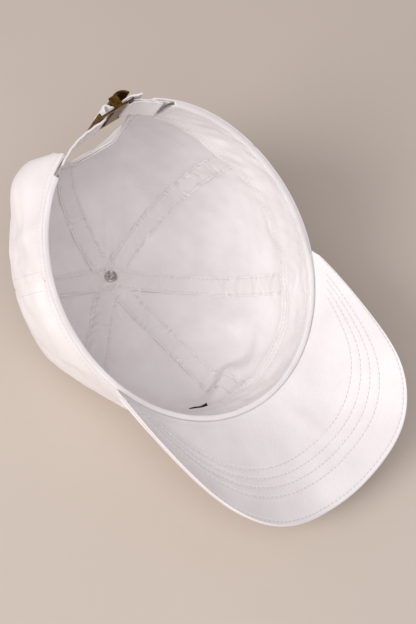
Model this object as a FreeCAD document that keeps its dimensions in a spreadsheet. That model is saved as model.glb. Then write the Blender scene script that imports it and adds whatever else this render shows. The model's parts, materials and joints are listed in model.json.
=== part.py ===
"""Baseball cap: a soft six-panel cap with a curved visor, lying on its crown.

The cap is designed in its own cap frame and then leaned onto the floor:
  cap frame   +X wearer's right, -Y the visor's way, +Z out of the head opening, the rim near Z = 0
  row frame   +Z up, the floor at Z = 0, the visor towards -Y
"""

import FreeCAD, Part
import math
import os
import Sketcher

V = FreeCAD.Vector

# name, value in mm or degrees, what it is
DIMENSIONS = [
    ("half_width", 83.0, "half the head opening, side to side"),
    ("front_reach", 95.5, "head opening, centre to front"),
    ("back_reach", 96.5, "head opening, centre to back"),
    ("crown_depth", 114.0, "rim to the top of the crown"),
    ("pole_back", 1.5, "the crown's top sits this far behind the opening's centre"),
    ("back_rise", 7.0, "the rim's middle back stands this far out of the rim plane"),
    ("front_power", 1.06, "roundness of the front profile, 1 is a quarter ellipse"),
    ("side_power", 0.74, "roundness of the side profile, smaller is fuller"),
    ("pinch_deep", 15.0, "how far the strap's pull draws the back wall in"),
    ("pinch_angle", 19.0, "half angle of the drawn-in back wall"),
    ("pinch_start", 11.0, "depth under the rim where it starts"),
    ("pinch_full", 38.0, "depth under the rim where it is deepest"),
    ("pinch_end", 98.0, "depth under the rim where it ends"),
    ("back_power", 0.74, "roundness of the back profile, smaller is fuller"),
    ("lean_angle", 35.5, "the cap leans this far towards the visor"),
    ("floor_drop", 92.5, "cap frame's origin above the floor"),
    ("row_shift", 19.3, "moves the row's origin to the middle of the footprint"),
    ("flatten_power", 45.0, "how sharply the crown flattens on the floor"),
    ("flat_shave", 0.45, "depth of the flat that the floor presses in the cloth"),
    ("button_lift", 5.4, "the button holds the cloth this far off the floor"),
    ("button_reach", 17.0, "radius of the cloth that the button lifts"),
    ("core_depth", 42.0, "point inside the crown that the flattening squeezes towards"),
    ("front_seam_angle", 52.0, "seam between front and side panel, from the front"),
    ("back_seam_angle", 113.0, "seam between side and back panel, from the front"),
    ("seam_gap", 0.12, "half the gap between two panels, in degrees"),
    ("panel_thick", 1.0, "cotton twill panel with its seam allowance"),
    ("pole_hole", 4.6, "radius of the hole where the panels meet"),
    ("tape_width", 13.5, "seam tape"),
    ("tape_thick", 0.65, "seam tape"),
    ("tape_depth", 1.62, "outer face of a tape below the crown's outside"),
    ("tape_tuck", 22.0, "the tapes stop this far from the rim, under the sweatband"),
    ("lining_depth", 2.45, "outer face of the interlining below the crown's outside"),
    ("lining_thick", 0.5, "sweatband interlining"),
    ("lining_width", 17.0, "sweatband interlining"),
    ("band_depth", 3.25, "outer face of the sweatband below the crown's outside"),
    ("band_thick", 1.1, "folded sweatband"),
    ("band_width", 31.0, "sweatband, rim to its free edge"),
    ("band_end_angle", 151.0, "the sweatband ends beside the rear arch"),
    ("tab_angle", -17.0, "middle of the woven tab, from the front"),
    ("tab_length", 13.0, "woven tab along the band"),
    ("tab_show", 2.6, "woven tab, the part beyond the sweatband's edge"),
    ("tab_thick", 0.5, "woven tab"),
    ("arch_half_width", 33.0, "rear arch at the rim"),
    ("arch_height", 41.0, "rear arch above the rim"),
    ("binding_width", 9.5, "binding round the arch"),
    ("binding_thick", 0.8, "binding round the arch"),
    ("visor_angle", 64.5, "the visor is sewn this far round each side of the front"),
    ("visor_length", 65.5, "visor at its middle"),
    ("visor_flare", 26.0, "sideways flare of the visor's edge"),
    ("visor_droop", 30.0, "the visor's tip stands this far out of the rim plane"),
    ("visor_radius", 60.0, "radius of the visor's side-to-side curve"),
    ("visor_round", 2.4, "roundness of the visor's outline"),
    ("visor_corner", 0.982, "the visor's corners are cut square here"),
    ("board_thick", 1.7, "polyethylene visor board"),
    ("board_inset", 1.2, "board inside the covers' edge"),
    ("cover_thick", 0.8, "visor cover"),
    ("cover_gap", 0.15, "gap between the visor's layers"),
    ("thread_size", 0.5, "topstitching thread"),
    ("strap_width", 20.0, "rear strap"),
    ("strap_thick", 1.3, "rear strap, folded double"),
    ("strap_line", 90.0, "the buckled strap's middle line behind the cap frame's origin"),
    ("strap_tilt", 12.0, "the strap's rim side stands out this far from the crown's axis"),
    ("strap_top", 5.5, "the strap's rim side above the rim plane"),
    ("buckle_start", -3.0, "the buckle's lip end, along the strap"),
    ("buckle_long", 24.0, "buckle plate along the strap"),
    ("buckle_wide", 26.0, "buckle plate across the strap"),
    ("plate_thick", 1.0, "buckle plate"),
    ("plate_lift", 1.2, "buckle plate's inner face outside the strap's middle line"),
    ("lip_height", 2.0, "upturned lip"),
    ("window_start", 3.5, "strap window from the lip end"),
    ("window_long", 7.0, "strap window"),
    ("window_wide", 21.6, "both windows across the strap"),
    ("slot_start", 19.5, "anchor slot from the lip end"),
    ("slot_long", 2.5, "anchor slot"),
    ("ear_start", 10.7, "ears from the lip end"),
    ("ear_long", 5.4, "ears along the strap"),
    ("ear_high", 6.6, "ears above the plate"),
    ("ear_thick", 1.0, "ears"),
    ("pin_along", 13.2, "pin from the lip end"),
    ("pin_high", 5.4, "pin above the buckle plate's inner face"),
    ("pin_radius", 0.75, "lever pin"),
    ("pin_hole", 0.8, "hole for the pin in ears and lever"),
    ("lever_barrel", 1.9, "radius of the lever's barrel"),
    ("lever_long", 11.5, "lever from the pin to its free edge"),
    ("lever_wide", 23.0, "lever across the strap"),
    ("lever_thick", 1.1, "lever plate"),
    ("lever_arch", 8.0, "outer radius of the lever's dome"),
    ("button_radius", 6.6, "covered button"),
    ("button_high", 3.4, "covered button, height of its dome"),
    ("button_skin", 0.7, "cloth over the button"),
    ("button_tilt", 3.0, "the button's axis from the vertical"),
    ("shank_radius", 1.5, "button shank"),
    ("rivet_radius", 4.2, "rivet flange inside the crown"),
    ("rivet_bore", 2.9, "recess in the rivet"),
    ("rivet_high", 1.3, "rivet flange"),
]

doc = FreeCAD.newDocument("baseball_cap")
sheet = doc.addObject("Spreadsheet::Sheet", "Dimensions")
for row, (alias, value, meaning) in enumerate(DIMENSIONS, start=1):
    sheet.set(f"A{row}", alias)
    sheet.set(f"B{row}", str(value))
    sheet.setAlias(f"B{row}", alias)
    sheet.set(f"C{row}", meaning)
doc.recompute()


def size(alias):
    """A driving dimension, read from the sheet."""
    return float(getattr(sheet, alias))


PINCH_HOLD = 4.0  # the pinch keeps its full depth this far
NEAR_POLE = 50.0  # within this radius a tape keeps its width round the pole
TAPE_MEET = 15.5  # the half tapes stop here, under the crossing one
CROSSING_REST = 9.0  # last row of the crossing tape before the pole's own
BINDING_CLEAR = 0.4  # between the panels and the binding
BINDING_FIELD_ANGLE = 44.0  # cloth that the binding is cut from, each way from the back
BINDING_FIELD_DEPTH = 74.0
LINING_START = 2.0  # interlining's edge from the rim
TAB_TUCK = 3.0  # between the interlining and the tab's hidden end
SEAM_OUT = 0.4  # between the crown and the visor's edge
VISOR_ENDS_POWER = 0.8  # how bluntly the visor's outline meets its corners
ROW_END_GAP = 5.0  # the topstitching stops this far from the seam
THREAD_CLEAR = 0.02
BAR_CLEAR = 0.3  # between the anchor strap and the bar it is folded round
ANCHOR_THICK = 0.8
ANCHOR_SHY = 0.5  # the anchor strap is narrower than the long one, each side
PIN_STAND = 0.3  # the pin stands out of each ear
LEVER_CENTRE_ALONG = 4.7  # middle of the lever's arc, from the pin
LEVER_CENTRE_UP = -4.6
BUTTON_BASE = 0.9  # the button's underside off the cloth
BORE_CLEAR = 0.02

LEAN = math.radians(size("lean_angle"))
FLOOR_UP = V(0, math.sin(LEAN), math.cos(LEAN))


def to_row(point):
    """Lean a point of the cap frame onto the floor."""
    y = point.y * math.cos(LEAN) - point.z * math.sin(LEAN)
    z = point.y * math.sin(LEAN) + point.z * math.cos(LEAN)
    return V(point.x, y + size("row_shift"), z + size("floor_drop"))


def lean_placement(point, inner=FreeCAD.Rotation()):
    """Placement in the row frame of a piece drawn at a point of the cap frame."""
    turn = FreeCAD.Rotation(V(1, 0, 0), size("lean_angle"))
    return FreeCAD.Placement(to_row(point), turn * inner)


# ---------------------------------------------------------------- crown wall


def rim_radius(psi):
    """Distance from the crown's axis to the rim, at an angle from the front."""
    dx, dy = math.sin(psi), -math.cos(psi)
    shift = size("pole_back")
    a = size("half_width")
    best = 0.0
    for reach, front in ((size("front_reach"), True), (size("back_reach"), False)):
        qa = (dx / a) ** 2 + (dy / reach) ** 2
        qb = 2 * shift * dy / reach**2
        qc = (shift / reach) ** 2 - 1
        radius = (-qb + math.sqrt(qb * qb - 4 * qa * qc)) / (2 * qa)
        if (shift + radius * dy <= 0) == front:
            best = radius
    return best


def squeeze(rho, z, y):
    """How far the floor squeezes a wall point towards the crown's core, 1 is not at all."""
    core = -size("core_depth")
    level = -size("floor_drop") - size("flat_shave")
    level += size("button_lift") * math.exp(-((rho / size("button_reach")) ** 2))
    pole = size("pole_back")
    down = FLOOR_UP.y * (y - pole) + FLOOR_UP.z * (z - core)
    if down > -1.0:
        return 1.0
    reach = (level - FLOOR_UP.y * pole - FLOOR_UP.z * core) / down
    n = size("flatten_power")
    return reach / (1 + reach**n) ** (1 / n)


def smooth_step(x, low, high):
    t = min(max((x - low) / (high - low), 0.0), 1.0)
    return t * t * (3 - 2 * t)


def back_pinch(psi, below_rim):
    """How far the drawn-in strap pulls the wall under the rear opening inwards."""
    turn = math.degrees(abs(psi))
    near_back = math.exp(-(((180 - turn) / size("pinch_angle")) ** 4))
    sunk = smooth_step(below_rim, size("pinch_start"), size("pinch_full"))
    fading = 1 - smooth_step(below_rim, size("pinch_full") + PINCH_HOLD, size("pinch_end"))
    return size("pinch_deep") * near_back * sunk * fading


def profile(psi, theta):
    """Wall point in the half-plane at psi: (distance from the axis, Z). theta 0 is the rim."""
    side = math.sin(psi) ** 2
    front = math.cos(psi) > 0
    ends = size("front_power") if front else size("back_power")
    power = size("side_power") * side + ends * (1 - side)
    out = max(math.cos(theta), 0.0) ** power
    down = math.sin(theta) ** power
    radius = rim_radius(psi)
    rim_y = size("pole_back") - radius * math.cos(psi)
    rim_z = size("back_rise") * (rim_y / size("back_reach")) ** 2 if rim_y > 0 else 0.0
    z = rim_z * (1 - down) - size("crown_depth") * down
    rho = radius * out - back_pinch(psi, rim_z - z)
    y = size("pole_back") - rho * math.cos(psi)
    k = squeeze(rho, z, y)
    core = -size("core_depth")
    return rho * k, core + (z - core) * k


def wall(psi, theta, depth):
    """Point of the row frame at a depth inside the crown's outer face."""
    step = 0.004
    r0, z0 = profile(psi, max(theta - step, 0.0))
    r1, z1 = profile(psi, min(theta + step, math.pi / 2))
    rho, z = profile(psi, theta)
    along = math.hypot(r1 - r0, z1 - z0)
    rho += depth * (z1 - z0) / along
    z -= depth * (r1 - r0) / along
    x = rho * math.sin(psi)
    y = size("pole_back") - rho * math.cos(psi)
    return to_row(V(x, y, z))


def theta_at(psi, distance):
    """The theta that lies a cloth distance from the rim."""
    steps = 240
    gone = 0.0
    last = profile(psi, 0.0)
    for i in range(1, steps + 1):
        theta = math.pi / 2 * i / steps
        here = profile(psi, theta)
        gone += math.hypot(here[0] - last[0], here[1] - last[1])
        if gone >= distance:
            return theta
        last = here
    return math.pi / 2


def theta_near_pole(psi, radius):
    """The theta where the wall is a given distance from the axis."""
    low, high = 0.0, math.pi / 2
    for _ in range(40):
        middle = (low + high) / 2
        if profile(psi, middle)[0] > radius:
            low = middle
        else:
            high = middle
    return low


def spread(first, last, count):
    return [first + (last - first) * i / (count - 1) for i in range(count)]


def slab(outer, inner):
    """Closed solid between two grids of points."""
    faces = []
    edges = []
    for grid in (outer, inner):
        surface = Part.BSplineSurface()
        surface.interpolate(grid)
        faces.append(surface.toShape())
        u0, u1, v0, v1 = surface.bounds()
        sides = [surface.uIso(u0), surface.uIso(u1), surface.vIso(v0), surface.vIso(v1)]
        edges.append([curve.toShape() for curve in sides])
    for first, second in zip(*edges):
        faces.append(Part.makeRuledSurface(first, second))
    shell = Part.makeShell(faces)
    shell.sewShape()
    solid = Part.makeSolid(shell)
    if solid.Volume < 0:
        solid.reverse()
    return solid


def add_piece(label, shape):
    piece = doc.addObject("Part::Feature", label)
    piece.Label = label
    piece.Shape = shape
    return piece


def wall_grid(psis, thetas, depth):
    """Grid of wall points; thetas is a function of psi."""
    return [[wall(psi, theta, depth) for theta in thetas(psi)] for psi in psis]


# -------------------------------------------------------------------- panels


def panel_shape(first_deg, last_deg, columns):
    gap = size("seam_gap")
    psis = [math.radians(a) for a in spread(first_deg + gap, last_deg - gap, columns)]

    def thetas(psi):
        return spread(0.0, theta_near_pole(psi, size("pole_hole")), 30)

    outer = wall_grid(psis, thetas, 0.0)
    inner = wall_grid(psis, thetas, size("panel_thick"))
    return slab(outer, inner)


def floor_cutter():
    """Box under the floor that presses the flat on the crown."""
    box = doc.addObject("Part::Box", "floor_cutter")
    box.Length, box.Width, box.Height = 400, 400, 20
    box.Placement.Base = V(-200, -200, -20)
    return box


def arch_tool(label, grow):
    """Elliptical prism through the back of the crown, grown by a named dimension."""
    ellipse = doc.addObject("Part::Ellipse", label + "_outline")
    extra = f" + Dimensions.{grow}" if grow else ""
    ellipse.setExpression("MajorRadius", f"Dimensions.arch_height{extra}")
    ellipse.setExpression("MinorRadius", f"Dimensions.arch_half_width{extra}")
    upright = FreeCAD.Rotation(V(0, 0, 1), V(1, 0, 0), V(0, 1, 0))
    ellipse.Placement = lean_placement(V(0, 60, size("back_rise")), upright)
    prism = doc.addObject("Part::Extrusion", label)
    prism.Base = ellipse
    prism.DirMode = "Normal"
    prism.LengthFwd = 80
    prism.LengthRev = 0
    prism.Solid = True
    return prism


def cut(label, base, tool):
    result = doc.addObject("Part::Cut", label)
    result.Label = label
    result.Base = base
    result.Tool = tool
    return result


front_seam = size("front_seam_angle")
back_seam = size("back_seam_angle")
nodes = []
under_floor = floor_cutter()
rear_arch = arch_tool("rear_arch", None)

for side, sign in (("left", -1), ("right", 1)):
    spans = {
        "front": (0.0, front_seam),
        "side": (front_seam, back_seam),
        "back": (back_seam, 180.0),
    }
    for name, (near, far) in spans.items():
        first, last = sorted((sign * near, sign * far))
        columns = 24 if name == "back" else 12
        cloth = add_piece(f"{name}_cloth_{side}", panel_shape(first, last, columns))
        label = f"{name}_panel_{side}"
        if name == "back":
            cloth = cut(f"arched_cloth_{side}", cloth, rear_arch)
        nodes.append(cut(label, cloth, under_floor))


# --------------------------------------------------------------- seam tapes


def wall_at(psi, rho, depth):
    """Wall point at an angle and a distance from the crown's axis."""
    return wall(psi, theta_near_pole(psi, rho), depth)


def tape_row(psi, theta, depth, flip=1.0):
    """Points across a tape whose middle line runs down the wall at psi."""
    rho, _ = profile(psi, theta)
    row = []
    for share in (-0.5, -0.25, 0.0, 0.25, 0.5):
        across = flip * share * size("tape_width")
        if rho < NEAR_POLE:
            row.append(wall_at(psi + math.atan2(across, rho), math.hypot(rho, across), depth))
        else:
            row.append(wall(psi + across / rho, theta, depth))
    return row


def half_tape_rows(psi, end_radius, depth, flip=1.0):
    """Rows of a tape from under the sweatband to a distance from the pole."""
    thetas = spread(theta_at(psi, size("tape_tuck")), theta_near_pole(psi, end_radius), 26)
    return [tape_row(psi, theta, depth, flip) for theta in thetas]


def half_tape(psi_deg):
    top = size("tape_depth")
    psi = math.radians(psi_deg)
    outer = half_tape_rows(psi, TAPE_MEET, top)
    inner = half_tape_rows(psi, TAPE_MEET, top + size("tape_thick"))
    return slab(outer, inner)


def crossing_rows(depth):
    """One tape that runs down the right front seam, over the pole and up the left back seam."""
    near = math.radians(front_seam)
    far = math.radians(-back_seam)
    across = (near + far + 2 * math.pi) / 2
    pole = []
    for share in (-0.5, -0.25, 0.0, 0.25, 0.5):
        distance = share * size("tape_width")
        turn = across if distance >= 0 else across + math.pi
        pole.append(wall_at(turn, abs(distance), depth))
    down = half_tape_rows(near, CROSSING_REST, depth)
    up = half_tape_rows(far, CROSSING_REST, depth, flip=-1.0)
    return down + [pole] + up[::-1]


def back_tape():
    """The tape of the middle back seam, from the arch binding to the pole."""
    top = size("tape_depth")
    start = size("arch_height") + size("back_rise") + size("binding_width") + 1.0

    def rows(depth):
        first = theta_at(math.pi, start)
        last = theta_near_pole(math.pi, TAPE_MEET)
        return [tape_row(math.pi, theta, depth) for theta in spread(first, last, 12)]

    return slab(rows(top), rows(top + size("tape_thick")))


pole_point = wall(0.0, math.pi / 2, 0.0)


def pole_placement(height=0.0):
    """Frame on the crown's outer face at the pole, local Z out of the cloth."""
    turn = FreeCAD.Rotation(V(1, 0, 0), 180 + size("button_tilt"))
    return FreeCAD.Placement(pole_point + turn.multVec(V(0, 0, height)), turn)


shank_hole = doc.addObject("Part::Cylinder", "shank_hole")
shank_hole.setExpression("Radius", "Dimensions.shank_radius + 0.4")
shank_hole.Height = 12
shank_hole.Placement = pole_placement(-8.0)

top = size("tape_depth")
crossing_shape = slab(crossing_rows(top), crossing_rows(top + size("tape_thick")))
crossing = add_piece("crossing_tape_cloth", crossing_shape)
nodes.append(cut("seam_tape_crossing", crossing, shank_hole))
nodes.append(add_piece("seam_tape_front", half_tape(0.0)))
nodes.append(add_piece("seam_tape_left_front", half_tape(-front_seam)))
nodes.append(add_piece("seam_tape_right_back", half_tape(back_seam)))
nodes.append(add_piece("seam_tape_back", back_tape()))

# --------------------------------------------------- sweatband, binding, tab


def band_shape(first_deg, last_deg, near, far, depth, thick, count, rows=7):
    """Strip of the wall between two cloth distances from the rim."""
    psis = [math.radians(a) for a in spread(first_deg, last_deg, count)]

    def thetas(psi):
        return spread(theta_at(psi, near) if near > 0 else 0.0, theta_at(psi, far), rows)

    return slab(wall_grid(psis, thetas, depth), wall_grid(psis, thetas, depth + thick))


end = size("band_end_angle")
nodes.append(add_piece(
    "sweatband",
    band_shape(-end, end, 0.0, size("band_width"), size("band_depth"), size("band_thick"), 37),
))
nodes.append(add_piece(
    "sweatband_interlining",
    band_shape(
        -end, end, LINING_START, LINING_START + size("lining_width"),
        size("lining_depth"), size("lining_thick"), 37,
    ),
))
tab_half = math.degrees(size("tab_length") / 2 / size("front_reach"))
nodes.append(add_piece(
    "woven_tab",
    band_shape(
        size("tab_angle") - tab_half,
        size("tab_angle") + tab_half,
        size("lining_width") + TAB_TUCK,
        size("band_width") + size("tab_show"),
        size("lining_depth") + 0.05,
        size("tab_thick"),
        4,
    ),
))

binding_field = add_piece(
    "binding_cloth",
    band_shape(
        180 - BINDING_FIELD_ANGLE, 180 + BINDING_FIELD_ANGLE, 0.0, BINDING_FIELD_DEPTH,
        size("panel_thick") + BINDING_CLEAR, size("binding_thick"), 45, rows=25,
    ),
)
binding_outside = arch_tool("binding_outline", "binding_width")
binding_ring = cut("binding_ring", binding_outside, rear_arch)
binding = doc.addObject("Part::Common", "arch_binding")
binding.Label = "arch_binding"
binding.Base = binding_field
binding.Tool = binding_ring
nodes.append(binding)

# --------------------------------------------------------------------- visor


def seam_point(share):
    """Cap-frame point of the visor seam on the rim, share -1 to 1 from left to right."""
    angle = math.radians(size("visor_angle")) * share
    a, b = size("half_width"), size("front_reach")
    radius = 1 / math.hypot(math.sin(angle) / a, math.cos(angle) / b)
    return V(radius * math.sin(angle), -radius * math.cos(angle), 0.0)


def visor_point(share, reach, inset, lift):
    """Row-frame point of the visor: reach 0 at the seam to 1 at the edge, lift off its middle."""
    start = seam_point(share)
    length = size("visor_length") * (1 - abs(share) ** size("visor_round")) ** VISOR_ENDS_POWER
    flare = size("visor_flare") * math.sin(math.pi * share) / 2
    shrink = max(length - inset, 0.2) / length
    gone = reach * shrink
    x = start.x + flare * gone
    y = start.y - SEAM_OUT - length * gone
    droop = size("visor_droop") * length * gone / size("visor_length")
    curve = (x * x - start.x * start.x) / (2 * size("visor_radius"))
    slope = math.hypot(1, x / size("visor_radius"), size("visor_droop") / size("visor_length"))
    return to_row(V(x, y, droop + curve + lift * slope))


def visor_layer(bottom, top, inset):
    """Closed sheet of the visor between two heights off its middle surface."""
    corner = size("visor_corner")
    shares = [corner * math.sin(math.pi / 2 * s) for s in spread(-1.0, 1.0, 25)]
    reaches = spread(0.0, 1.0, 9)
    grids = [
        [[visor_point(s, r, inset, lift) for r in reaches] for s in shares]
        for lift in (top, bottom)
    ]
    return slab(*grids)


half_board = size("board_thick") / 2
cover_in = half_board + size("cover_gap")
cover_out = cover_in + size("cover_thick")
nodes.append(add_piece("visor_board", visor_layer(-half_board, half_board, size("board_inset"))))
nodes.append(add_piece("visor_under_cover", visor_layer(cover_in, cover_out, 0.0)))
nodes.append(add_piece("visor_top_cover", visor_layer(-cover_out, -cover_in, 0.0)))


def thread_row(inset, height):
    """Flat run of topstitching, a given way in from the visor's edge."""
    half = size("thread_size") / 2
    room = (inset + ROW_END_GAP) / size("visor_length")
    span = (1 - room**1.25) ** (1 / size("visor_round"))
    shares = [span * math.sin(math.pi / 2 * s) for s in spread(-1.0, 1.0, 25)]
    grids = []
    for lift in (height + half, height):
        grid = []
        for share in shares:
            near = visor_point(share, 1.0, inset + half, lift)
            far = visor_point(share, 1.0, inset - half, lift)
            grid.append([near, (near + far) / 2, far])
        grids.append(grid)
    return slab(*grids)


stitch_insets = [3.0] + spread(17.0, 33.5, 4)
threads = [thread_row(inset, cover_out + THREAD_CLEAR) for inset in stitch_insets]
nodes.append(add_piece("visor_topstitching", Part.makeCompound(threads)))

# --------------------------------------------------------------------- strap


def ribbon(points, thick, first_z, last_z):
    """Strip of webbing: a path in the cap frame's plan, as (x, out) pairs, with a thickness."""
    middle = Part.BSplineCurve()
    middle.interpolate([V(x, size("strap_line") + out, first_z) for x, out in points])
    start, stop = middle.FirstParameter, middle.LastParameter
    count = 6 * len(points)
    edges = []
    for side in (-0.5, 0.5):
        line = []
        for p in spread(start, stop, count):
            tangent = middle.tangent(p)[0]
            line.append(middle.value(p) + V(-tangent.y, tangent.x, 0) * (side * thick))
        curve = Part.BSplineCurve()
        curve.interpolate(line)
        edges.append((curve.toShape(), line[0], line[-1]))
    (lower, low_start, low_end), (upper, up_start, up_end) = edges
    ends = [Part.makeLine(low_end, up_end), Part.makeLine(up_start, low_start)]
    wire = Part.Wire(Part.__sortEdges__([lower, ends[0], upper, ends[1]]))
    return Part.Face(wire).extrude(V(0, 0, last_z - first_z))


def strap_placement(point, inner=FreeCAD.Rotation()):
    """Placement of a piece drawn at a point of the cap frame and tilted with the strap."""
    middle = V(0, size("strap_line"), size("strap_top") - size("strap_width") / 2)
    tilt = FreeCAD.Rotation(V(1, 0, 0), -size("strap_tilt"))
    spot = middle + tilt.multVec(point - middle)
    return lean_placement(spot, tilt * inner)


def add_tilted(label, shape):
    """Piece drawn in the cap frame, placed in the row frame and tilted with the strap."""
    piece = add_piece(label, shape)
    piece.Placement = strap_placement(V(0, 0, 0))
    return piece


STRAP_PATH = [
    (-36.6, -8.8), (-33.2, -6.9), (-29.5, -5.1), (-25.0, -3.3), (-18.0, -1.3), (-8.0, -0.2),
    (-3.0, -0.2), (0.2, 0.2), (1.9, 1.9), (2.6, 4.4), (3.6, 6.6), (5.0, 7.3), (6.3, 6.2),
    (7.2, 4.5), (8.8, 3.4), (11.0, 3.2), (14.0, 3.4), (18.0, 4.3), (21.5, 4.3), (25.0, 3.0), (28.8, 1.9),
]
top_z = size("strap_top")
low_z = top_z - size("strap_width")
nodes.append(add_tilted("strap_long", ribbon(STRAP_PATH, size("strap_thick"), low_z, top_z)))


def anchor_shape():
    """Short strap folded round the buckle's end bar and sewn to the right arch end."""
    start = size("buckle_start")
    slot_middle = start + size("slot_start") + size("slot_long") / 2
    bar_end = start + size("buckle_long")
    plate_in = size("plate_lift")
    plate_out = plate_in + size("plate_thick")
    cloth = ANCHOR_THICK
    near = slot_middle - cloth / 2
    far = bar_end + BAR_CLEAR
    outline = [
        (near, plate_in - BAR_CLEAR - cloth), (near, plate_out + BAR_CLEAR + cloth),
        (far + cloth, plate_out + BAR_CLEAR + cloth), (far + cloth, plate_in - BAR_CLEAR),
        (28.5, -1.6), (32.9, -4.6), (36.6, -7.7),
        (35.6, -8.9), (32.0, -6.0), (27.8, -3.2),
        (bar_end, plate_in - BAR_CLEAR - cloth),
    ]
    hole = [
        (near + cloth, plate_in - BAR_CLEAR), (near + cloth, plate_out + BAR_CLEAR),
        (far, plate_out + BAR_CLEAR), (far, plate_in - BAR_CLEAR),
    ]
    solids = []
    for loop in (outline, hole):
        points = [V(x, size("strap_line") + out, low_z + ANCHOR_SHY) for x, out in loop]
        face = Part.Face(Part.makePolygon(points + [points[0]]))
        solids.append(face.extrude(V(0, 0, size("strap_width") - 2 * ANCHOR_SHY)))
    return solids[0].cut(solids[1])


nodes.append(add_tilted("strap_anchor", anchor_shape()))

# -------------------------------------------------------------------- buckle


def add_body(label):
    body = doc.addObject("PartDesign::Body", label)
    body.Label = label
    return body


def add_sketch(body, name, role, offset=None):
    """Sketch on one of the body's own origin planes; offset is an expression off the plane."""
    sketch = body.newObject("Sketcher::SketchObject", name)
    plane = [f for f in body.Origin.OriginFeatures if f.Role == role][0]
    sketch.AttachmentSupport = [(plane, "")]
    sketch.MapMode = "FlatFace"
    if offset:
        sketch.setExpression(".AttachmentOffset.Base.z", offset)
    return sketch


def bind(sketch, constraint, name, expression):
    index = sketch.addConstraint(constraint)
    sketch.renameConstraint(index, name)
    sketch.setExpression(f"Constraints.{name}", expression)


def add_rectangle(sketch, name, left, low, wide, high):
    """Rectangle whose four sizes are expressions of the sheet."""
    corners = [V(1, 1, 0), V(2, 1, 0), V(2, 2, 0), V(1, 2, 0)]
    first = sketch.GeometryCount
    for i in range(4):
        sketch.addGeometry(Part.LineSegment(corners[i], corners[(i + 1) % 4]))
    for i in range(4):
        after = first + (i + 1) % 4
        sketch.addConstraint(Sketcher.Constraint("Coincident", first + i, 2, after, 1))
        way = "Horizontal" if i % 2 == 0 else "Vertical"
        sketch.addConstraint(Sketcher.Constraint(way, first + i))
    bind(sketch, Sketcher.Constraint("DistanceX", first, 1, first, 2, 1.0), f"{name}_wide", wide)
    bind(sketch, Sketcher.Constraint("DistanceY", first + 1, 1, first + 1, 2, 1.0), f"{name}_high", high)
    bind(sketch, Sketcher.Constraint("DistanceX", -1, 1, first, 1, 1.0), f"{name}_left", left)
    bind(sketch, Sketcher.Constraint("DistanceY", -1, 1, first, 1, 1.0), f"{name}_low", low)


def add_circle(sketch, name, across, up, radius):
    first = sketch.addGeometry(Part.Circle(V(1, 1, 0), V(0, 0, 1), 1))
    bind(sketch, Sketcher.Constraint("DistanceX", -1, 1, first, 3, 1.0), f"{name}_across", across)
    bind(sketch, Sketcher.Constraint("DistanceY", -1, 1, first, 3, 1.0), f"{name}_up", up)
    bind(sketch, Sketcher.Constraint("Radius", first, 1.0), f"{name}_radius", radius)


def add_pad(body, sketch, name, length, both_ways=False):
    pad = body.newObject("PartDesign::Pad", name)
    pad.Profile = sketch
    pad.setExpression("Length", length)
    pad.Midplane = both_ways
    return pad


def add_pocket(body, sketch, name):
    pocket = body.newObject("PartDesign::Pocket", name)
    pocket.Profile = sketch
    pocket.Type = "ThroughAll"
    pocket.Midplane = True
    return pocket


def buckle_placement(along, out):
    """Frame on the buckle: local X along the strap, local Z out of the head."""
    middle_z = (top_z + low_z) / 2
    turn = FreeCAD.Rotation(V(1, 0, 0), -90)
    return strap_placement(V(along, size("strap_line") + out, middle_z), turn)


def make_buckle_frame():
    body = add_body("buckle_frame")
    d = "Dimensions."
    plate = add_sketch(body, "plate_outline", "XY_Plane")
    add_rectangle(plate, "plate", "0 mm", f"-{d}buckle_wide / 2", f"{d}buckle_long", f"{d}buckle_wide")
    add_pad(body, plate, "plate", f"{d}plate_thick")
    lip = add_sketch(body, "lip_outline", "XY_Plane")
    add_rectangle(lip, "lip", "0 mm", f"-{d}buckle_wide / 2", f"{d}plate_thick", f"{d}buckle_wide")
    add_pad(body, lip, "lip", f"{d}plate_thick + {d}lip_height")
    ears = add_sketch(body, "ear_outline", "XY_Plane")
    low = f"-{d}buckle_wide / 2"
    high = f"{d}buckle_wide / 2 - {d}ear_thick"
    for name, edge in (("low", low), ("high", high)):
        add_rectangle(ears, name, f"{d}ear_start", edge, f"{d}ear_long", f"{d}ear_thick")
    add_pad(body, ears, "ears", f"{d}plate_thick + {d}ear_high")
    doc.recompute()
    solid_before = body.Shape.Volume
    windows = add_sketch(body, "window_outline", "XY_Plane")
    edge = f"-{d}window_wide / 2"
    add_rectangle(windows, "window", f"{d}window_start", edge, f"{d}window_long", f"{d}window_wide")
    add_rectangle(windows, "slot", f"{d}slot_start", edge, f"{d}slot_long", f"{d}window_wide")
    add_pocket(body, windows, "windows")
    holes = add_sketch(body, "pin_hole_outline", "XZ_Plane")
    add_circle(holes, "pin", f"{d}pin_along", f"{d}pin_high", f"{d}pin_hole")
    add_pocket(body, holes, "pin_holes")
    doc.recompute()
    if body.Shape.Volume > solid_before - 150:
        raise RuntimeError("the buckle's windows were not cut")
    body.Placement = buckle_placement(size("buckle_start"), size("plate_lift"))
    return body


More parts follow.
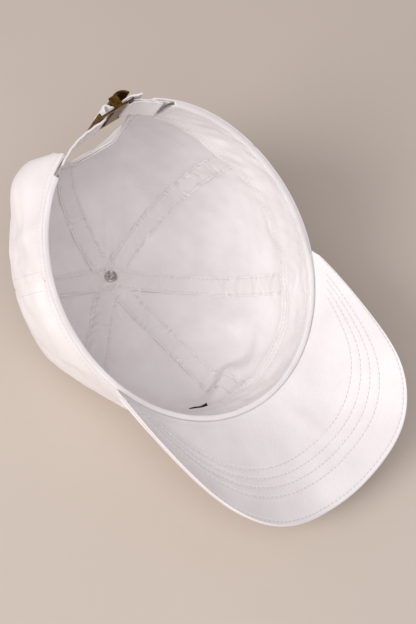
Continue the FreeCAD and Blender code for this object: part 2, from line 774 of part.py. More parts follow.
def make_buckle_lever():
    """Cam lever: a barrel on the pin and a domed plate over the strap."""
    body = add_body("buckle_lever")
    d = "Dimensions."
    barrel = add_sketch(body, "barrel_outline", "XZ_Plane")
    add_circle(barrel, "barrel", "0 mm", "0 mm", f"{d}lever_barrel")
    add_pad(body, barrel, "barrel", f"{d}lever_wide", both_ways=True)
    arm = add_sketch(body, "arm_outline", "XZ_Plane")
    centre = V(LEVER_CENTRE_ALONG, LEVER_CENTRE_UP, 0)
    outer = size("lever_arch")
    inner = outer - size("lever_thick")
    first_angle, last_angle = math.radians(32), math.radians(122)
    arcs = []
    for radius in (outer, inner):
        circle = Part.Circle(centre, V(0, 0, 1), radius)
        arcs.append(arm.addGeometry(Part.ArcOfCircle(circle, first_angle, last_angle)))
    ends = [
        arm.addGeometry(Part.LineSegment(V(11, 0, 0), V(10, 0, 0))),
        arm.addGeometry(Part.LineSegment(V(1, 1, 0), V(0, 1, 0))),
    ]
    for line, point in zip(ends, (1, 2)):
        arm.addConstraint(Sketcher.Constraint("Coincident", arcs[0], point, line, 1))
        arm.addConstraint(Sketcher.Constraint("Coincident", arcs[1], point, line, 2))
    arm.addConstraint(Sketcher.Constraint("Coincident", arcs[0], 3, arcs[1], 3))
    bind(arm, Sketcher.Constraint("Radius", arcs[0], outer), "outer", f"{d}lever_arch")
    bind(arm, Sketcher.Constraint("Radius", arcs[1], inner), "inner", f"{d}lever_arch - {d}lever_thick")
    middle_along = Sketcher.Constraint("DistanceX", -1, 1, arcs[0], 3, centre.x)
    middle_under = Sketcher.Constraint("DistanceY", arcs[0], 3, -1, 1, -centre.y)
    bind(arm, middle_along, "along", f"{d}lever_long * 0.41")
    bind(arm, middle_under, "under", f"{d}lever_long * 0.4")
    bind(arm, Sketcher.Constraint("DistanceX", -1, 1, arcs[0], 1, 11.5), "tip", f"{d}lever_long")
    bind(arm, Sketcher.Constraint("DistanceX", -1, 1, arcs[1], 1, 10.6), "tip_in", f"{d}lever_long - 0.9")
    bind(arm, Sketcher.Constraint("DistanceX", -1, 1, arcs[0], 2, 0.3), "root", f"{d}lever_thick * 0.3")
    bind(arm, Sketcher.Constraint("DistanceX", -1, 1, arcs[1], 2, 1.2), "root_in", f"{d}lever_thick * 1.1")
    add_pad(body, arm, "arm", f"{d}lever_wide", both_ways=True)
    bore = add_sketch(body, "bore_outline", "XZ_Plane")
    add_circle(bore, "bore", "0 mm", "0 mm", f"{d}pin_hole")
    add_pocket(body, bore, "bore")
    doc.recompute()
    along = size("buckle_start") + size("pin_along")
    body.Placement = buckle_placement(along, size("plate_lift") + size("pin_high"))
    return body


def make_buckle_pin():
    pin = doc.addObject("Part::Cylinder", "buckle_pin")
    pin.Label = "buckle_pin"
    pin.setExpression("Radius", "Dimensions.pin_radius")
    pin.setExpression("Height", f"Dimensions.buckle_wide + {2 * PIN_STAND}")
    along = size("buckle_start") + size("pin_along")
    out = size("strap_line") + size("plate_lift") + size("pin_high")
    foot = (top_z + low_z) / 2 - size("buckle_wide") / 2 - PIN_STAND
    pin.Placement = strap_placement(V(along, out, foot))
    return pin


nodes.append(make_buckle_frame())
nodes.append(make_buckle_lever())
nodes.append(make_buckle_pin())

# -------------------------------------------------------------------- button


def on_pole(kind, name, height, **sizes):
    """Part primitive on the crown's pole, at a height out of the cloth, bound to the sheet."""
    piece = doc.addObject(kind, name)
    for key, expression in sizes.items():
        piece.setExpression(key, expression)
    piece.Placement = pole_placement(height)
    return piece


def cap_tool(name):
    """Big cylinder that keeps only what stands above the button's base."""
    radius = "Dimensions.button_radius + 5"
    return on_pole("Part::Cylinder", name, BUTTON_BASE, Radius=radius, Height="20 mm")


def common(label, base, tool):
    result = doc.addObject("Part::Common", label)
    result.Label = label
    result.Base = base
    result.Tool = tool
    return result


cap_base = size("button_radius")
cap_high = size("button_high")
ball = (cap_base**2 + cap_high**2) / (2 * cap_high)
ball_text = "(Dimensions.button_radius^2 + Dimensions.button_high^2) / (2 * Dimensions.button_high)"
ball_centre = BUTTON_BASE + cap_high - ball

outer_ball = on_pole("Part::Sphere", "button_outer_ball", ball_centre, Radius=ball_text)
inner_text = f"{ball_text} - Dimensions.button_skin"
inner_ball = on_pole("Part::Sphere", "button_inner_ball", ball_centre, Radius=inner_text)
shell_ball = on_pole("Part::Sphere", "button_shell_ball", ball_centre, Radius=f"{inner_text} - 0.05")
dome = common("button_dome", outer_ball, cap_tool("button_cover_base"))
nodes.append(cut("button_cover", dome, inner_ball))
solid_shell = common("button_solid_shell", shell_ball, cap_tool("button_shell_base"))
bore_text = f"Dimensions.shank_radius + {BORE_CLEAR}"
shell_bore = on_pole("Part::Cylinder", "button_bore", BUTTON_BASE - 1, Radius=bore_text, Height="2.2 mm")
nodes.append(cut("button_shell", solid_shell, shell_bore))

rivet_back = -(size("tape_depth") + size("tape_thick") + 0.35)
shank_start = rivet_back - size("rivet_high") + 0.4
shank = on_pole("Part::Cylinder", "button_shank", shank_start, Radius="Dimensions.shank_radius")
shank.Label = "button_shank"
shank.Height = BUTTON_BASE + 1.1 - shank_start
nodes.append(shank)

flange = on_pole(
    "Part::Cylinder", "rivet_flange", rivet_back - size("rivet_high"),
    Radius="Dimensions.rivet_radius", Height="Dimensions.rivet_high",
)
recess = on_pole(
    "Part::Cylinder", "rivet_recess", rivet_back - size("rivet_high") - 1,
    Radius="Dimensions.rivet_bore", Height="Dimensions.rivet_high + 0.6",
)
rivet_hole = on_pole("Part::Cylinder", "rivet_hole", rivet_back - 2, Radius=bore_text, Height="4 mm")
dished = cut("rivet_dished", flange, recess)
nodes.append(cut("button_rivet", dished, rivet_hole))

# -------------------------------------------------------------------- export

doc.recompute()
for item in doc.Objects:
    if "Invalid" in item.State or "Error" in item.State:
        raise RuntimeError(f"{item.Label} failed: {item.State}")
os.makedirs("parts", exist_ok=True)
for node in nodes:
    shape = node.Shape
    if shape.isNull() or not shape.isValid() or not shape.Solids:
        raise RuntimeError(f"{node.Label} has no valid solid")
    shape.exportStep(f"parts/{node.Label}.step")
    print(f"{node.Label:24s} {len(shape.Solids)} solid {shape.Volume:8.0f} mm3 {shape.BoundBox}")
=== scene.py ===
import json
import math

import bpy
import numpy as np
from bpy.props import FloatProperty, FloatVectorProperty, PointerProperty
from mathutils import Matrix, Vector


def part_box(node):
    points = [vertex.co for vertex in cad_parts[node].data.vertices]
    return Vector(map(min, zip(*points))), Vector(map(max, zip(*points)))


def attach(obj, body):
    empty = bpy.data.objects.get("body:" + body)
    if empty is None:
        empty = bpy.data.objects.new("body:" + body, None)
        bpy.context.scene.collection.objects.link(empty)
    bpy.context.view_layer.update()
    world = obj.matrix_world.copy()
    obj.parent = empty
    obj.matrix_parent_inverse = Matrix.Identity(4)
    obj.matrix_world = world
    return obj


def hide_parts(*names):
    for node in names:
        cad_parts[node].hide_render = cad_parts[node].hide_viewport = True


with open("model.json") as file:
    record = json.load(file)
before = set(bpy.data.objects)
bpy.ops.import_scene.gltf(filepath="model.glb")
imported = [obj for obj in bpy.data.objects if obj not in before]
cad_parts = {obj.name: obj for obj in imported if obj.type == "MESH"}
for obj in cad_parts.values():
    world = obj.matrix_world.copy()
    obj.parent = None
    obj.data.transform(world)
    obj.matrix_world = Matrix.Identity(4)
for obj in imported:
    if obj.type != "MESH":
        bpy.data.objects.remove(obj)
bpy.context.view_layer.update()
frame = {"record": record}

bl_info = {
    "name": "Six-panel cotton cap",
    "version": (1, 0, 0),
    "blender": (4, 5, 0),
    "location": "View3D > Sidebar > Cap",
    "description": "Sews the cloth, stitching, strap and trim of a soft six-panel cap onto its frame",
    "category": "Object",
}

MM = 0.001
DEGREES = 57.3  # in a radian, rounded


def linear(hex_colour):
    """sRGB hex colour as linear red, green, blue and alpha."""
    parts = [int(hex_colour[i : i + 2], 16) / 255 for i in (0, 2, 4)]
    return [c / 12.92 if c <= 0.04045 else ((c + 0.055) / 1.055) ** 2.4 for c in parts] + [1.0]


def length_prop(name, value, about):
    return FloatProperty(
        name=name, description=about, default=value, unit="LENGTH", subtype="DISTANCE", precision=5
    )


def angle_prop(name, degrees, about):
    return FloatProperty(
        name=name, description=about, default=math.radians(degrees), unit="ROTATION", subtype="ANGLE"
    )


def colour_prop(name, hex_colour, about):
    return FloatVectorProperty(
        name=name, description=about, default=linear(hex_colour), size=4, min=0, max=1, subtype="COLOR"
    )


class CapSizes(bpy.types.PropertyGroup):
    """Sizes of the cap, the same as its frame's."""

    half_width: length_prop("Half width", 0.083, "Head opening's half width")
    front_reach: length_prop("Front reach", 0.0955, "Rim in front of the pole's line")
    back_reach: length_prop("Back reach", 0.0965, "Rim behind it")
    crown_depth: length_prop("Crown depth", 0.114, "Rim to pole before the floor flattens it")
    pole_back: length_prop("Pole back", 0.0015, "Pole behind the opening's middle")
    back_rise: length_prop("Back rise", 0.007, "How far the rim rises at the back")
    panel_thick: length_prop("Panel thickness", 0.001, "Twill with its seam allowance")
    tape_width: length_prop("Tape width", 0.0135, "Seam tape's width")
    band_width: length_prop("Sweatband width", 0.031, "Rim to the sweatband's free edge")
    arch_half_width: length_prop("Arch half width", 0.033, "Rear opening's half width")
    arch_height: length_prop("Arch height", 0.041, "Rear opening's height from the rim")
    binding_width: length_prop("Binding width", 0.0095, "Facing round the rear opening")
    visor_length: length_prop("Visor length", 0.0655, "Visor from seam to edge in the middle")
    strap_width: length_prop("Strap width", 0.020, "Strap's width")
    front_seam: angle_prop("Front seam", 52, "Front side seams from the middle")
    back_seam: angle_prop("Back seam", 113, "Back side seams from the middle")


class CapColours(bpy.types.PropertyGroup):
    """Colours of the cap's cloth, thread and trim."""

    twill: colour_prop("Twill", "f7f4f4", "Washed white cotton twill")
    twill_shade: colour_prop("Twill shade", "eee9e9", "Where the twill has greyed")
    tape: colour_prop("Tape", "f3efee", "Cotton seam tape")
    # painted shade: the thread's tone is set greyer than the twill to stand in for the shade in its stitch
    # holes; the thread itself is white
    thread: colour_prop("Thread", "e8e3e0", "Spun polyester thread")
    brass: colour_prop("Brass", "8f6a2e", "Antiqued brass")
    floor: colour_prop("Floor", "d0c5b9", "Matt paper floor")


class CapStage(bpy.types.PropertyGroup):
    """Camera and light."""

    azimuth: angle_prop("Azimuth", -47.91, "Camera round the cap")
    elevation: angle_prop("Elevation", 55.76, "Camera above the floor")
    roll: angle_prop("Roll", 7.35, "Camera turned on its own axis")
    distance: length_prop("Distance", 0.79915, "Camera to what it looks at")
    lens: FloatProperty(name="Lens", description="Focal length in mm on a 36 mm frame", default=79.69)
    key_power: FloatProperty(name="Key", description="Soft box's power", default=28.0, unit="POWER")
    fill_power: FloatProperty(name="Fill", description="Fill's power", default=15.0, unit="POWER")


# ------------------------------------------------------------------ the crown's surface

MOUNT = next(m for m in frame["record"]["mounts"] if m["name"] == "head_opening")
OPENING = np.array(MOUNT["pos_m"])
OPEN_UP = np.array(MOUNT["axis"])
OPEN_RIGHT = np.array([1.0, 0.0, 0.0])
OPEN_BACK = np.cross(OPEN_UP, OPEN_RIGHT)
CORE_DEPTH = 0.042
FLAT_SHAVE = 0.00045
BUTTON_LIFT = 0.0054
BUTTON_REACH = 0.017
FLATTEN_POWER = 45
SIDE_POWER = 0.74
FRONT_POWER = 1.06
POLE_HOLE = 0.0046
PINCH_DEEP, PINCH_ANGLE = 0.015, math.radians(19)
PINCH_START, PINCH_FULL, PINCH_END = 0.011, 0.038, 0.098
FLOOR_GAP = 0.0002
ARCH_END = math.radians(2.5)

# gathers beside the seams, and the belly of the cloth between them
PUCKER_PITCH, PUCKER_HIGH, PUCKER_AWAY, PUCKER_REACH = 0.0068, 0.00016, 0.004, 0.005
BELLY_OUT, BELLY_SEAM = 0.0006, 0.013
# broad and fine waves of worn cloth
BROAD_WAVE, FINE_WAVE = 0.00042, 0.00016
# the left wall's slump and the squared corner beside the strap
SLUMP_TURN, SLUMP_OUT = math.radians(-112), 0.0031
CORNER_OUT, CORNER_DOWN, CORNER_TALL = 0.0085, 0.034, 0.020
# the dent right of the front tape, with the ridge round it
DENT_TURN, DENT_CLIMB, DENT_DEEP, DENT_WIDE = math.radians(19), 0.557, 0.0042, 0.012
DENT_RIDGE, DENT_RIDGE_AWAY, DENT_RIDGE_WIDE = 0.0018, 0.019, 0.007
# the crease that bends the front tape, and a fainter one to its left
CREASE_TURN, CREASE_DOWN, CREASE_SLOPE, CREASE_REACH = math.radians(2), 0.049, 0.45, 0.022
FAINT_TURN, FAINT_DOWN, FAINT_SLOPE, FAINT_REACH = math.radians(-30), 0.062, 0.3, 16
# folds at the hem: turn, lean for each metre of climb and width in degrees, depth in metres
HEM_FOLDS = (
    (-133, 90, 2.6, 0.0012), (-123, -60, 2.2, -0.0009), (-103, 50, 3.0, 0.0007), (-99, -80, 3.0, -0.0007),
    (-83, 60, 3.0, 0.0007), (96, 60, 3.4, 0.0006), (121, -80, 3.0, -0.0006),
)
# pleats that run out from the button: turn and width in degrees, depth in metres
POLE_PLEATS = ((-30, 4.5, -0.0006), (150, 5, -0.0015), (136, 4, 0.0011), (124, 3.5, -0.0010))


def place(points):
    """Cap-frame points leaned onto the floor."""
    return OPENING + points[..., :1] * OPEN_RIGHT + points[..., 1:2] * OPEN_BACK + points[..., 2:] * OPEN_UP


def bell(x, width):
    return np.exp(-((x / width) ** 2))


def smooth_step(x, low, high):
    t = np.clip((x - low) / (high - low), 0, 1)
    return t * t * (3 - 2 * t)


def turn_gap(a, b):
    """Shortest turn from b to a."""
    return (a - b + np.pi) % (2 * np.pi) - np.pi


def ripples(points, waves, shortest, longest, seed):
    """Soft noise of about plus or minus one: waves of random direction through space."""
    rng = np.random.default_rng(seed)
    total = np.zeros(points.shape[:-1])
    for _ in range(waves):
        way = rng.normal(size=3)
        way /= np.linalg.norm(way)
        period = shortest * (longest / shortest) ** rng.random()
        bend = rng.random() * 6.28
        total += np.sin(points @ way * (2 * np.pi / period) + bend)
    return total / math.sqrt(waves / 1.6)


def back_pinch(psi, below_rim):
    """How far the drawn-in strap pulls the wall under the rear opening inwards."""
    near_back = np.exp(-((turn_gap(psi, np.pi) / PINCH_ANGLE) ** 4))
    sunk = smooth_step(below_rim, PINCH_START, PINCH_FULL)
    fading = 1 - smooth_step(below_rim, PINCH_FULL + 0.004, PINCH_END)
    return PINCH_DEEP * near_back * sunk * fading


class Crown:
    """The crown's wall, in a turn psi from the front and a climb theta from rim to pole."""

    def __init__(self, sizes):
        self.sizes = sizes
        self.turns = np.linspace(-np.pi, np.pi, 145)
        self.climbs = np.linspace(0, np.pi / 2, 241)
        psi, theta = np.meshgrid(self.turns, self.climbs, indexing="ij")
        rho, z = self.profile(psi, theta)
        steps = np.hypot(np.diff(rho, axis=1), np.diff(z, axis=1))
        self.gone = np.concatenate([np.zeros((len(self.turns), 1)), np.cumsum(steps, axis=1)], axis=1)
        self.reach = np.linspace(0, self.gone.max(), 241)
        self.climb_at = np.array([np.interp(self.reach, row, self.climbs) for row in self.gone])
        self.near = np.linspace(0, 0.1, 241)
        self.climb_near = np.array([np.interp(self.near, row[::-1], self.climbs[::-1]) for row in rho])

    def look_up(self, table, psi, x, last):
        """Table's value between its turns and its even steps up to last."""
        across = ((psi + np.pi) % (2 * np.pi)) / (2 * np.pi) * (len(self.turns) - 1)
        along = np.clip(x / last, 0, 1) * (table.shape[1] - 1)
        i = np.minimum(across.astype(int), len(self.turns) - 2)
        j = np.minimum(along.astype(int), table.shape[1] - 2)
        u, v = across - i, along - j
        low = table[i, j] * (1 - v) + table[i, j + 1] * v
        high = table[i + 1, j] * (1 - v) + table[i + 1, j + 1] * v
        return low * (1 - u) + high * u

    def cloth_from_rim(self, psi, theta):
        return self.look_up(self.gone, psi, theta, np.pi / 2)

    def theta_at(self, psi, distance):
        return self.look_up(self.climb_at, psi, distance, self.reach[-1])

    def theta_near_pole(self, psi, rho):
        return self.look_up(self.climb_near, psi, rho, self.near[-1])

    def rim_radius(self, psi):
        s = self.sizes
        dx, dy = np.sin(psi), -np.cos(psi)
        best = np.zeros_like(psi)
        for reach, front in ((s.front_reach, True), (s.back_reach, False)):
            qa = (dx / s.half_width) ** 2 + (dy / reach) ** 2
            qb = 2 * s.pole_back * dy / reach**2
            qc = (s.pole_back / reach) ** 2 - 1
            radius = (-qb + np.sqrt(qb * qb - 4 * qa * qc)) / (2 * qa)
            best = np.where((s.pole_back + radius * dy <= 0) == front, radius, best)
        return best

    def squeeze(self, rho, z, y):
        """How far the floor presses the wall towards the crown's core."""
        s = self.sizes
        level = -OPENING[2] - FLAT_SHAVE + BUTTON_LIFT * bell(rho, BUTTON_REACH)
        down = OPEN_BACK[2] * (y - s.pole_back) + OPEN_UP[2] * (z + CORE_DEPTH)
        reach = (level - OPEN_BACK[2] * s.pole_back + OPEN_UP[2] * CORE_DEPTH) / np.minimum(down, -0.001)
        held = reach / (1 + reach**FLATTEN_POWER) ** (1 / FLATTEN_POWER)
        return np.where(down > -0.001, 1.0, held)

    def profile(self, psi, theta):
        """Distance from the axis and height of a wall point."""
        s = self.sizes
        side = np.sin(psi) ** 2
        ends = np.where(np.cos(psi) > 0, FRONT_POWER, SIDE_POWER)
        power = SIDE_POWER * side + ends * (1 - side)
        out = np.clip(np.cos(theta), 0, 1) ** power
        down = np.sin(theta) ** power
        radius = self.rim_radius(psi)
        rim_y = s.pole_back - radius * np.cos(psi)
        rim_z = np.where(rim_y > 0, s.back_rise * (rim_y / s.back_reach) ** 2, 0)
        z = rim_z * (1 - down) - s.crown_depth * down
        rho = radius * out - back_pinch(psi, rim_z - z)
        k = self.squeeze(rho, z, s.pole_back - rho * np.cos(psi))
        return rho * k, -CORE_DEPTH + (z + CORE_DEPTH) * k

    def seams(self):
        s = self.sizes
        return [0.0, s.front_seam, s.back_seam, np.pi, -s.back_seam, -s.front_seam]

    def seam_puckers(self, psi, rho, spot, cloth):
        away = np.min([rho * np.abs(turn_gap(psi, seam)) for seam in self.seams()], axis=0)
        wander = ripples(spot, 6, 0.02, 0.05, 3)
        beside = bell(away - PUCKER_AWAY, PUCKER_REACH)
        pucker = beside * np.sin(2 * np.pi * cloth / PUCKER_PITCH + 3.5 * wander)
        belly = BELLY_OUT * (1 - bell(away, BELLY_SEAM)) * smooth_step(rho, 0.01, 0.03)
        return PUCKER_HIGH * pucker * (0.6 + 0.4 * wander) + belly

    def worn_waves(self, rho, spot):
        broad = BROAD_WAVE * ripples(spot, 9, 0.024, 0.07, 11)
        fine = FINE_WAVE * ripples(spot, 9, 0.009, 0.022, 12)
        return (broad + fine) * smooth_step(rho, 0.008, 0.03)

    def left_side(self, psi, z, cloth):
        low = smooth_step(-z, 0.0, 0.018) * (1 - smooth_step(-z, 0.055, 0.09))
        across = turn_gap(psi, SLUMP_TURN)
        slump = smooth_step(across, -1.1, -0.5) * (1 - smooth_step(across, 0.3, 0.9))
        turn = np.degrees(psi)
        corner = smooth_step(turn, -164, -156) * (1 - smooth_step(turn, -152, -132))
        return SLUMP_OUT * low * slump + CORNER_OUT * corner * bell(cloth - CORNER_DOWN, CORNER_TALL)

    def hem_and_pleats(self, psi, rho, cloth):
        turn = np.degrees(psi)
        hem = 1 - smooth_step(cloth, 0.03, 0.062)
        out = np.zeros_like(cloth)
        for middle, lean, wide, deep in HEM_FOLDS:
            out += deep * bell(turn - middle - lean * cloth, wide) * hem
        for middle, wide, deep in POLE_PLEATS:
            ray = bell(turn_gap(psi, math.radians(middle)) * DEGREES, wide)
            out += deep * ray * bell(rho - 0.026, 0.018)
        return out

    def front_creases(self, psi, theta, rho, cloth):
        climbed = self.cloth_from_rim(psi, np.full_like(theta, DENT_CLIMB))
        dent = np.hypot(rho * turn_gap(psi, DENT_TURN), cloth - climbed)
        out = DENT_DEEP * bell(dent, DENT_WIDE) - DENT_RIDGE * bell(dent - DENT_RIDGE_AWAY, DENT_RIDGE_WIDE)
        slant = rho * turn_gap(psi, CREASE_TURN)
        crease = cloth - CREASE_DOWN - CREASE_SLOPE * slant
        valley, ridge = -0.0052 * bell(crease, 0.0075), 0.0030 * bell(crease - 0.016, 0.009)
        out += (valley + ridge) * bell(slant, CREASE_REACH)
        across = turn_gap(psi, FAINT_TURN)
        faint = cloth - FAINT_DOWN + FAINT_SLOPE * rho * across
        return out - 0.0016 * bell(faint, 0.009) * bell(across * DEGREES, FAINT_REACH)

    def folds(self, psi, theta, rho, z):
        """How far the worn cloth stands out of its even shape."""
        spot = np.stack([rho * np.sin(psi), -rho * np.cos(psi), z], -1)
        cloth = self.cloth_from_rim(psi, theta)
        out = self.seam_puckers(psi, rho, spot, cloth) + self.worn_waves(rho, spot)
        out += self.left_side(psi, z, cloth) + self.hem_and_pleats(psi, rho, cloth)
        out += self.front_creases(psi, theta, rho, cloth)
        return out * smooth_step(cloth, -0.001, 0.010)

    def wall(self, psi, theta, depth):
        """Points of the worn crown at a depth inside its outer face."""
        psi, theta = np.broadcast_arrays(np.asarray(psi, float), np.asarray(theta, float))
        step = 0.004
        r0, z0 = self.profile(psi, np.maximum(theta - step, 0))
        r1, z1 = self.profile(psi, np.minimum(theta + step, np.pi / 2))
        rho, z = self.profile(psi, theta)
        along = np.hypot(r1 - r0, z1 - z0)
        inward = depth - self.folds(psi, theta, rho, z)
        rho_in = rho + inward * (z1 - z0) / along
        z_in = z - inward * (r1 - r0) / along
        cap = np.stack([rho_in * np.sin(psi), self.sizes.pole_back - rho_in * np.cos(psi), z_in], -1)
        points = place(cap)
        points[..., 2] = np.maximum(points[..., 2], FLOOR_GAP + 0.95 * np.maximum(depth, 0))
        return points

    def turn_and_climb(self, x, z):
        """Where the back of the wall has the given cap-frame x and z."""
        psi = np.pi - np.arcsin(np.clip(x / 0.088, -0.95, 0.95))
        theta = np.arcsin(np.clip(-z / 0.125, 0.001, 0.9)) ** 1.25
        for _ in range(14):
            rho, height = self.profile(psi, theta)
            miss_x, miss_z = rho * np.sin(psi) - x, height - z
            rho_t, height_t = self.profile(psi, theta + 1e-4)
            rho_p, height_p = self.profile(psi + 1e-4, theta)
            a = (rho_p * np.sin(psi + 1e-4) - rho * np.sin(psi)) / 1e-4
            b = (rho_t - rho) * np.sin(psi) / 1e-4
            c, d = (height_p - height) / 1e-4, (height_t - height) / 1e-4
            det = a * d - b * c
            psi = psi - np.clip((d * miss_x - b * miss_z) / det, -0.2, 0.2)
            theta = np.clip(theta - np.clip((a * miss_z - c * miss_x) / det, -0.2, 0.2), 0.0, 1.5)
        return psi, theta

    def arch(self, angle, grow):
        """Turn and climb on the rear opening's edge, or a distance outside it."""
        s = self.sizes
        x = (s.arch_half_width + grow) * np.cos(angle)
        z = s.back_rise - (s.arch_height + grow) * np.sin(angle)
        return self.turn_and_climb(x, z)


_crowns = []


def crown():
    """The one crown surface, worked out once."""
    if not _crowns:
        _crowns.append(Crown(bpy.context.scene.cap_sizes))
    return _crowns[0]


CORE = place(np.array([0.0, 0.0, -0.045]))

# ------------------------------------------------------------------ making sheets


def deselect():
    if bpy.context.mode != "OBJECT":
        bpy.ops.object.mode_set(mode="OBJECT")
    bpy.ops.object.select_all(action="DESELECT")


def new_grid(name, across, along):
    """Grid with the given number of cells, as shares 0 to 1 both ways."""
    deselect()
    bpy.ops.mesh.primitive_grid_add(x_subdivisions=across, y_subdivisions=along, size=1.0, calc_uvs=True)
    piece = bpy.context.object
    piece.name = name
    piece.data.name = name
    return piece


def get_points(piece):
    points = np.empty(len(piece.data.vertices) * 3)
    piece.data.vertices.foreach_get("co", points)
    return points.reshape(-1, 3)


def set_points(piece, points):
    piece.data.vertices.foreach_set("co", np.ascontiguousarray(points, float).ravel())
    piece.data.update()


def set_cloth(piece, cloth):
    """UV map in metres of cloth, one pair for each vertex."""
    corners = np.empty(len(piece.data.loops), int)
    piece.data.loops.foreach_get("vertex_index", corners)
    piece.data.uv_layers.active.data.foreach_set("uv", cloth[corners].ravel())


def face_towards(piece, point, towards):
    """Turn the faces so that they look towards a point, or away from it."""
    mesh = piece.data
    normals = np.empty(len(mesh.polygons) * 3)
    middles = np.empty(len(mesh.polygons) * 3)
    mesh.polygons.foreach_get("normal", normals)
    mesh.polygons.foreach_get("center", middles)
    looks = (normals.reshape(-1, 3) * (point - middles.reshape(-1, 3))).sum(1).sum()
    if (looks > 0) != towards:
        deselect()
        piece.select_set(True)
        bpy.context.view_layer.objects.active = piece
        bpy.ops.object.mode_set(mode="EDIT")
        bpy.ops.mesh.select_all(action="SELECT")
        bpy.ops.mesh.flip_normals()
        bpy.ops.object.mode_set(mode="OBJECT")


def apply_modifier(piece, kind, **settings):
    modifier = piece.modifiers.new(kind.lower(), kind)
    for name, value in settings.items():
        setattr(modifier, name, value)
    bpy.context.view_layer.objects.active = piece
    bpy.ops.object.modifier_apply(modifier=modifier.name)


def finish_sheet(piece, thick, edge, offset=-1.0, inner=None):
    """Give a surface its cloth's thickness and rounded cut edges."""
    deselect()
    piece.select_set(True)
    bpy.context.view_layer.objects.active = piece
    apply_modifier(piece, "SOLIDIFY", thickness=thick, offset=offset, use_even_offset=False)
    if inner is not None:
        points = get_points(piece)
        points[len(inner) : 2 * len(inner)] = inner
        set_points(piece, points)
    if edge:
        apply_modifier(
            piece, "BEVEL", width=edge, segments=2, limit_method="ANGLE",
            angle_limit=math.radians(50), use_clamp_overlap=True, harden_normals=False,
        )
    bpy.ops.object.shade_smooth()


def bunch(share, strength):
    """Even shares gathered towards both ends."""
    return share - strength * np.sin(2 * np.pi * share) / (2 * np.pi)


def sheet_from(name, across, along, surface, thick, edge, towards_core, offset=-1.0, bunched=(0.0, 0.0)):
    """Sheet whose vertices lie where surface(s, t) says.

    A surface returns points, pairs of metres of cloth, and in some the other face's points too.
    """
    piece = new_grid(name, across, along)
    shares = get_points(piece)[:, :2] + 0.5
    s, t = bunch(shares[:, 0], bunched[0]), bunch(shares[:, 1], bunched[1])
    points, cloth, *inner = surface(s, t)
    set_points(piece, points)
    set_cloth(piece, cloth)
    face_towards(piece, CORE, towards_core)
    finish_sheet(piece, thick, edge, offset, inner[0] if inner else None)
    return piece


def hand_over(piece, material, replaces):
    """Give a finished piece its material and body, and hide the parts it replaces."""
    piece.data.materials.clear()
    piece.data.materials.append(material)
    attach(piece, "cap")
    if replaces:
        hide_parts(*replaces)


# ------------------------------------------------------------------ stitches


def stitch_template():
    """One stitch: a short round-ended thread lying along X, with a few dozen faces."""
    deselect()
    bpy.ops.mesh.primitive_uv_sphere_add(segments=6, ring_count=5, radius=0.5)
    one = bpy.context.object
    points = get_points(one)
    faces = [tuple(p.vertices) for p in one.data.polygons]
    bpy.data.objects.remove(one, do_unlink=True)
    turned = np.stack([points[:, 2], points[:, 0], points[:, 1]], -1)
    turned[:, 0] = np.sign(turned[:, 0]) * np.abs(turned[:, 0] * 2) ** 0.8 / 2
    return turned, faces


def even_steps(points, pitch):
    """Places every pitch along a line of points, as indexes between them."""
    gone = np.concatenate([[0], np.cumsum(np.linalg.norm(np.diff(points, axis=0), axis=1))])
    count = max(int(gone[-1] / pitch), 1)
    return np.interp((np.arange(count) + 0.5) * gone[-1] / count, gone, np.arange(len(points)))


def between(values, index):
    low = np.clip(index.astype(int), 0, len(values) - 2)
    share = (index - low)[:, None]
    return values[low] * (1 - share) + values[low + 1] * share


def sew(name, rows, replaces=(), pitch=0.0030, long=0.0024, wide=0.00058, high=0.0005):
    """Rows of stitches; each row is (points, outward directions)."""
    template, faces = stitch_template()
    all_points, all_faces = [], []
    for line, ups in rows:
        spots = even_steps(line, pitch)
        middle = between(line, spots)
        before, after = np.maximum(spots - 0.3, 0), np.minimum(spots + 0.3, len(line) - 1)
        ahead = between(line, after) - between(line, before)
        ahead /= np.linalg.norm(ahead, axis=1, keepdims=True)
        up = between(ups, spots)
        up -= (up * ahead).sum(1, keepdims=True) * ahead
        up /= np.linalg.norm(up, axis=1, keepdims=True)
        side = np.cross(up, ahead)
        for m, a, u, b in zip(middle, ahead, up, side):
            start = len(all_points) * len(template)
            all_points.append(
                m + template[:, :1] * a * long + template[:, 1:2] * b * wide + template[:, 2:] * u * high
            )
            all_faces += [tuple(start + v for v in face) for face in faces]
    mesh = bpy.data.meshes.new(name)
    mesh.from_pydata(np.concatenate(all_points).tolist(), [], all_faces)
    mesh.update()
    piece = bpy.data.objects.new(name, mesh)
    bpy.context.scene.collection.objects.link(piece)
    face_out_of_stitches(piece)
    hand_over(piece, finish("thread"), replaces)


def face_out_of_stitches(piece):
    """Make each little thread's faces look outwards, and shade them smooth."""
    deselect()
    piece.select_set(True)
    bpy.context.view_layer.objects.active = piece
    bpy.ops.object.mode_set(mode="EDIT")
    bpy.ops.mesh.select_all(action="SELECT")
    bpy.ops.mesh.normals_make_consistent(inside=False)
    bpy.ops.object.mode_set(mode="OBJECT")
    bpy.ops.object.shade_smooth()


def wall_row(psi, theta, depth, inside):
    """Stitch row on the crown's wall, with its directions out of the cloth."""
    c = crown()
    line = c.wall(psi, theta, depth)
    deeper = c.wall(psi, theta, depth + 0.002)
    up = deeper - line if inside else line - deeper
    return line, up / np.linalg.norm(up, axis=1, keepdims=True)


# ------------------------------------------------------------------ materials


def add_node(tree, kind, links=None, **settings):
    """Add a node, set its properties and inputs, and link its inputs."""
    node = tree.nodes.new(kind)
    for name, value in settings.items():
        if hasattr(node, name):
            setattr(node, name, value)
        else:
            node.inputs[name.replace("_", " ")].default_value = value
    for name, socket in (links or {}).items():
        tree.links.new(socket, node.inputs[name])
    return node


def new_material(name):
    material = bpy.data.materials.new(name)
    material.use_nodes = True
    material.node_tree.nodes.clear()
    return material, material.node_tree


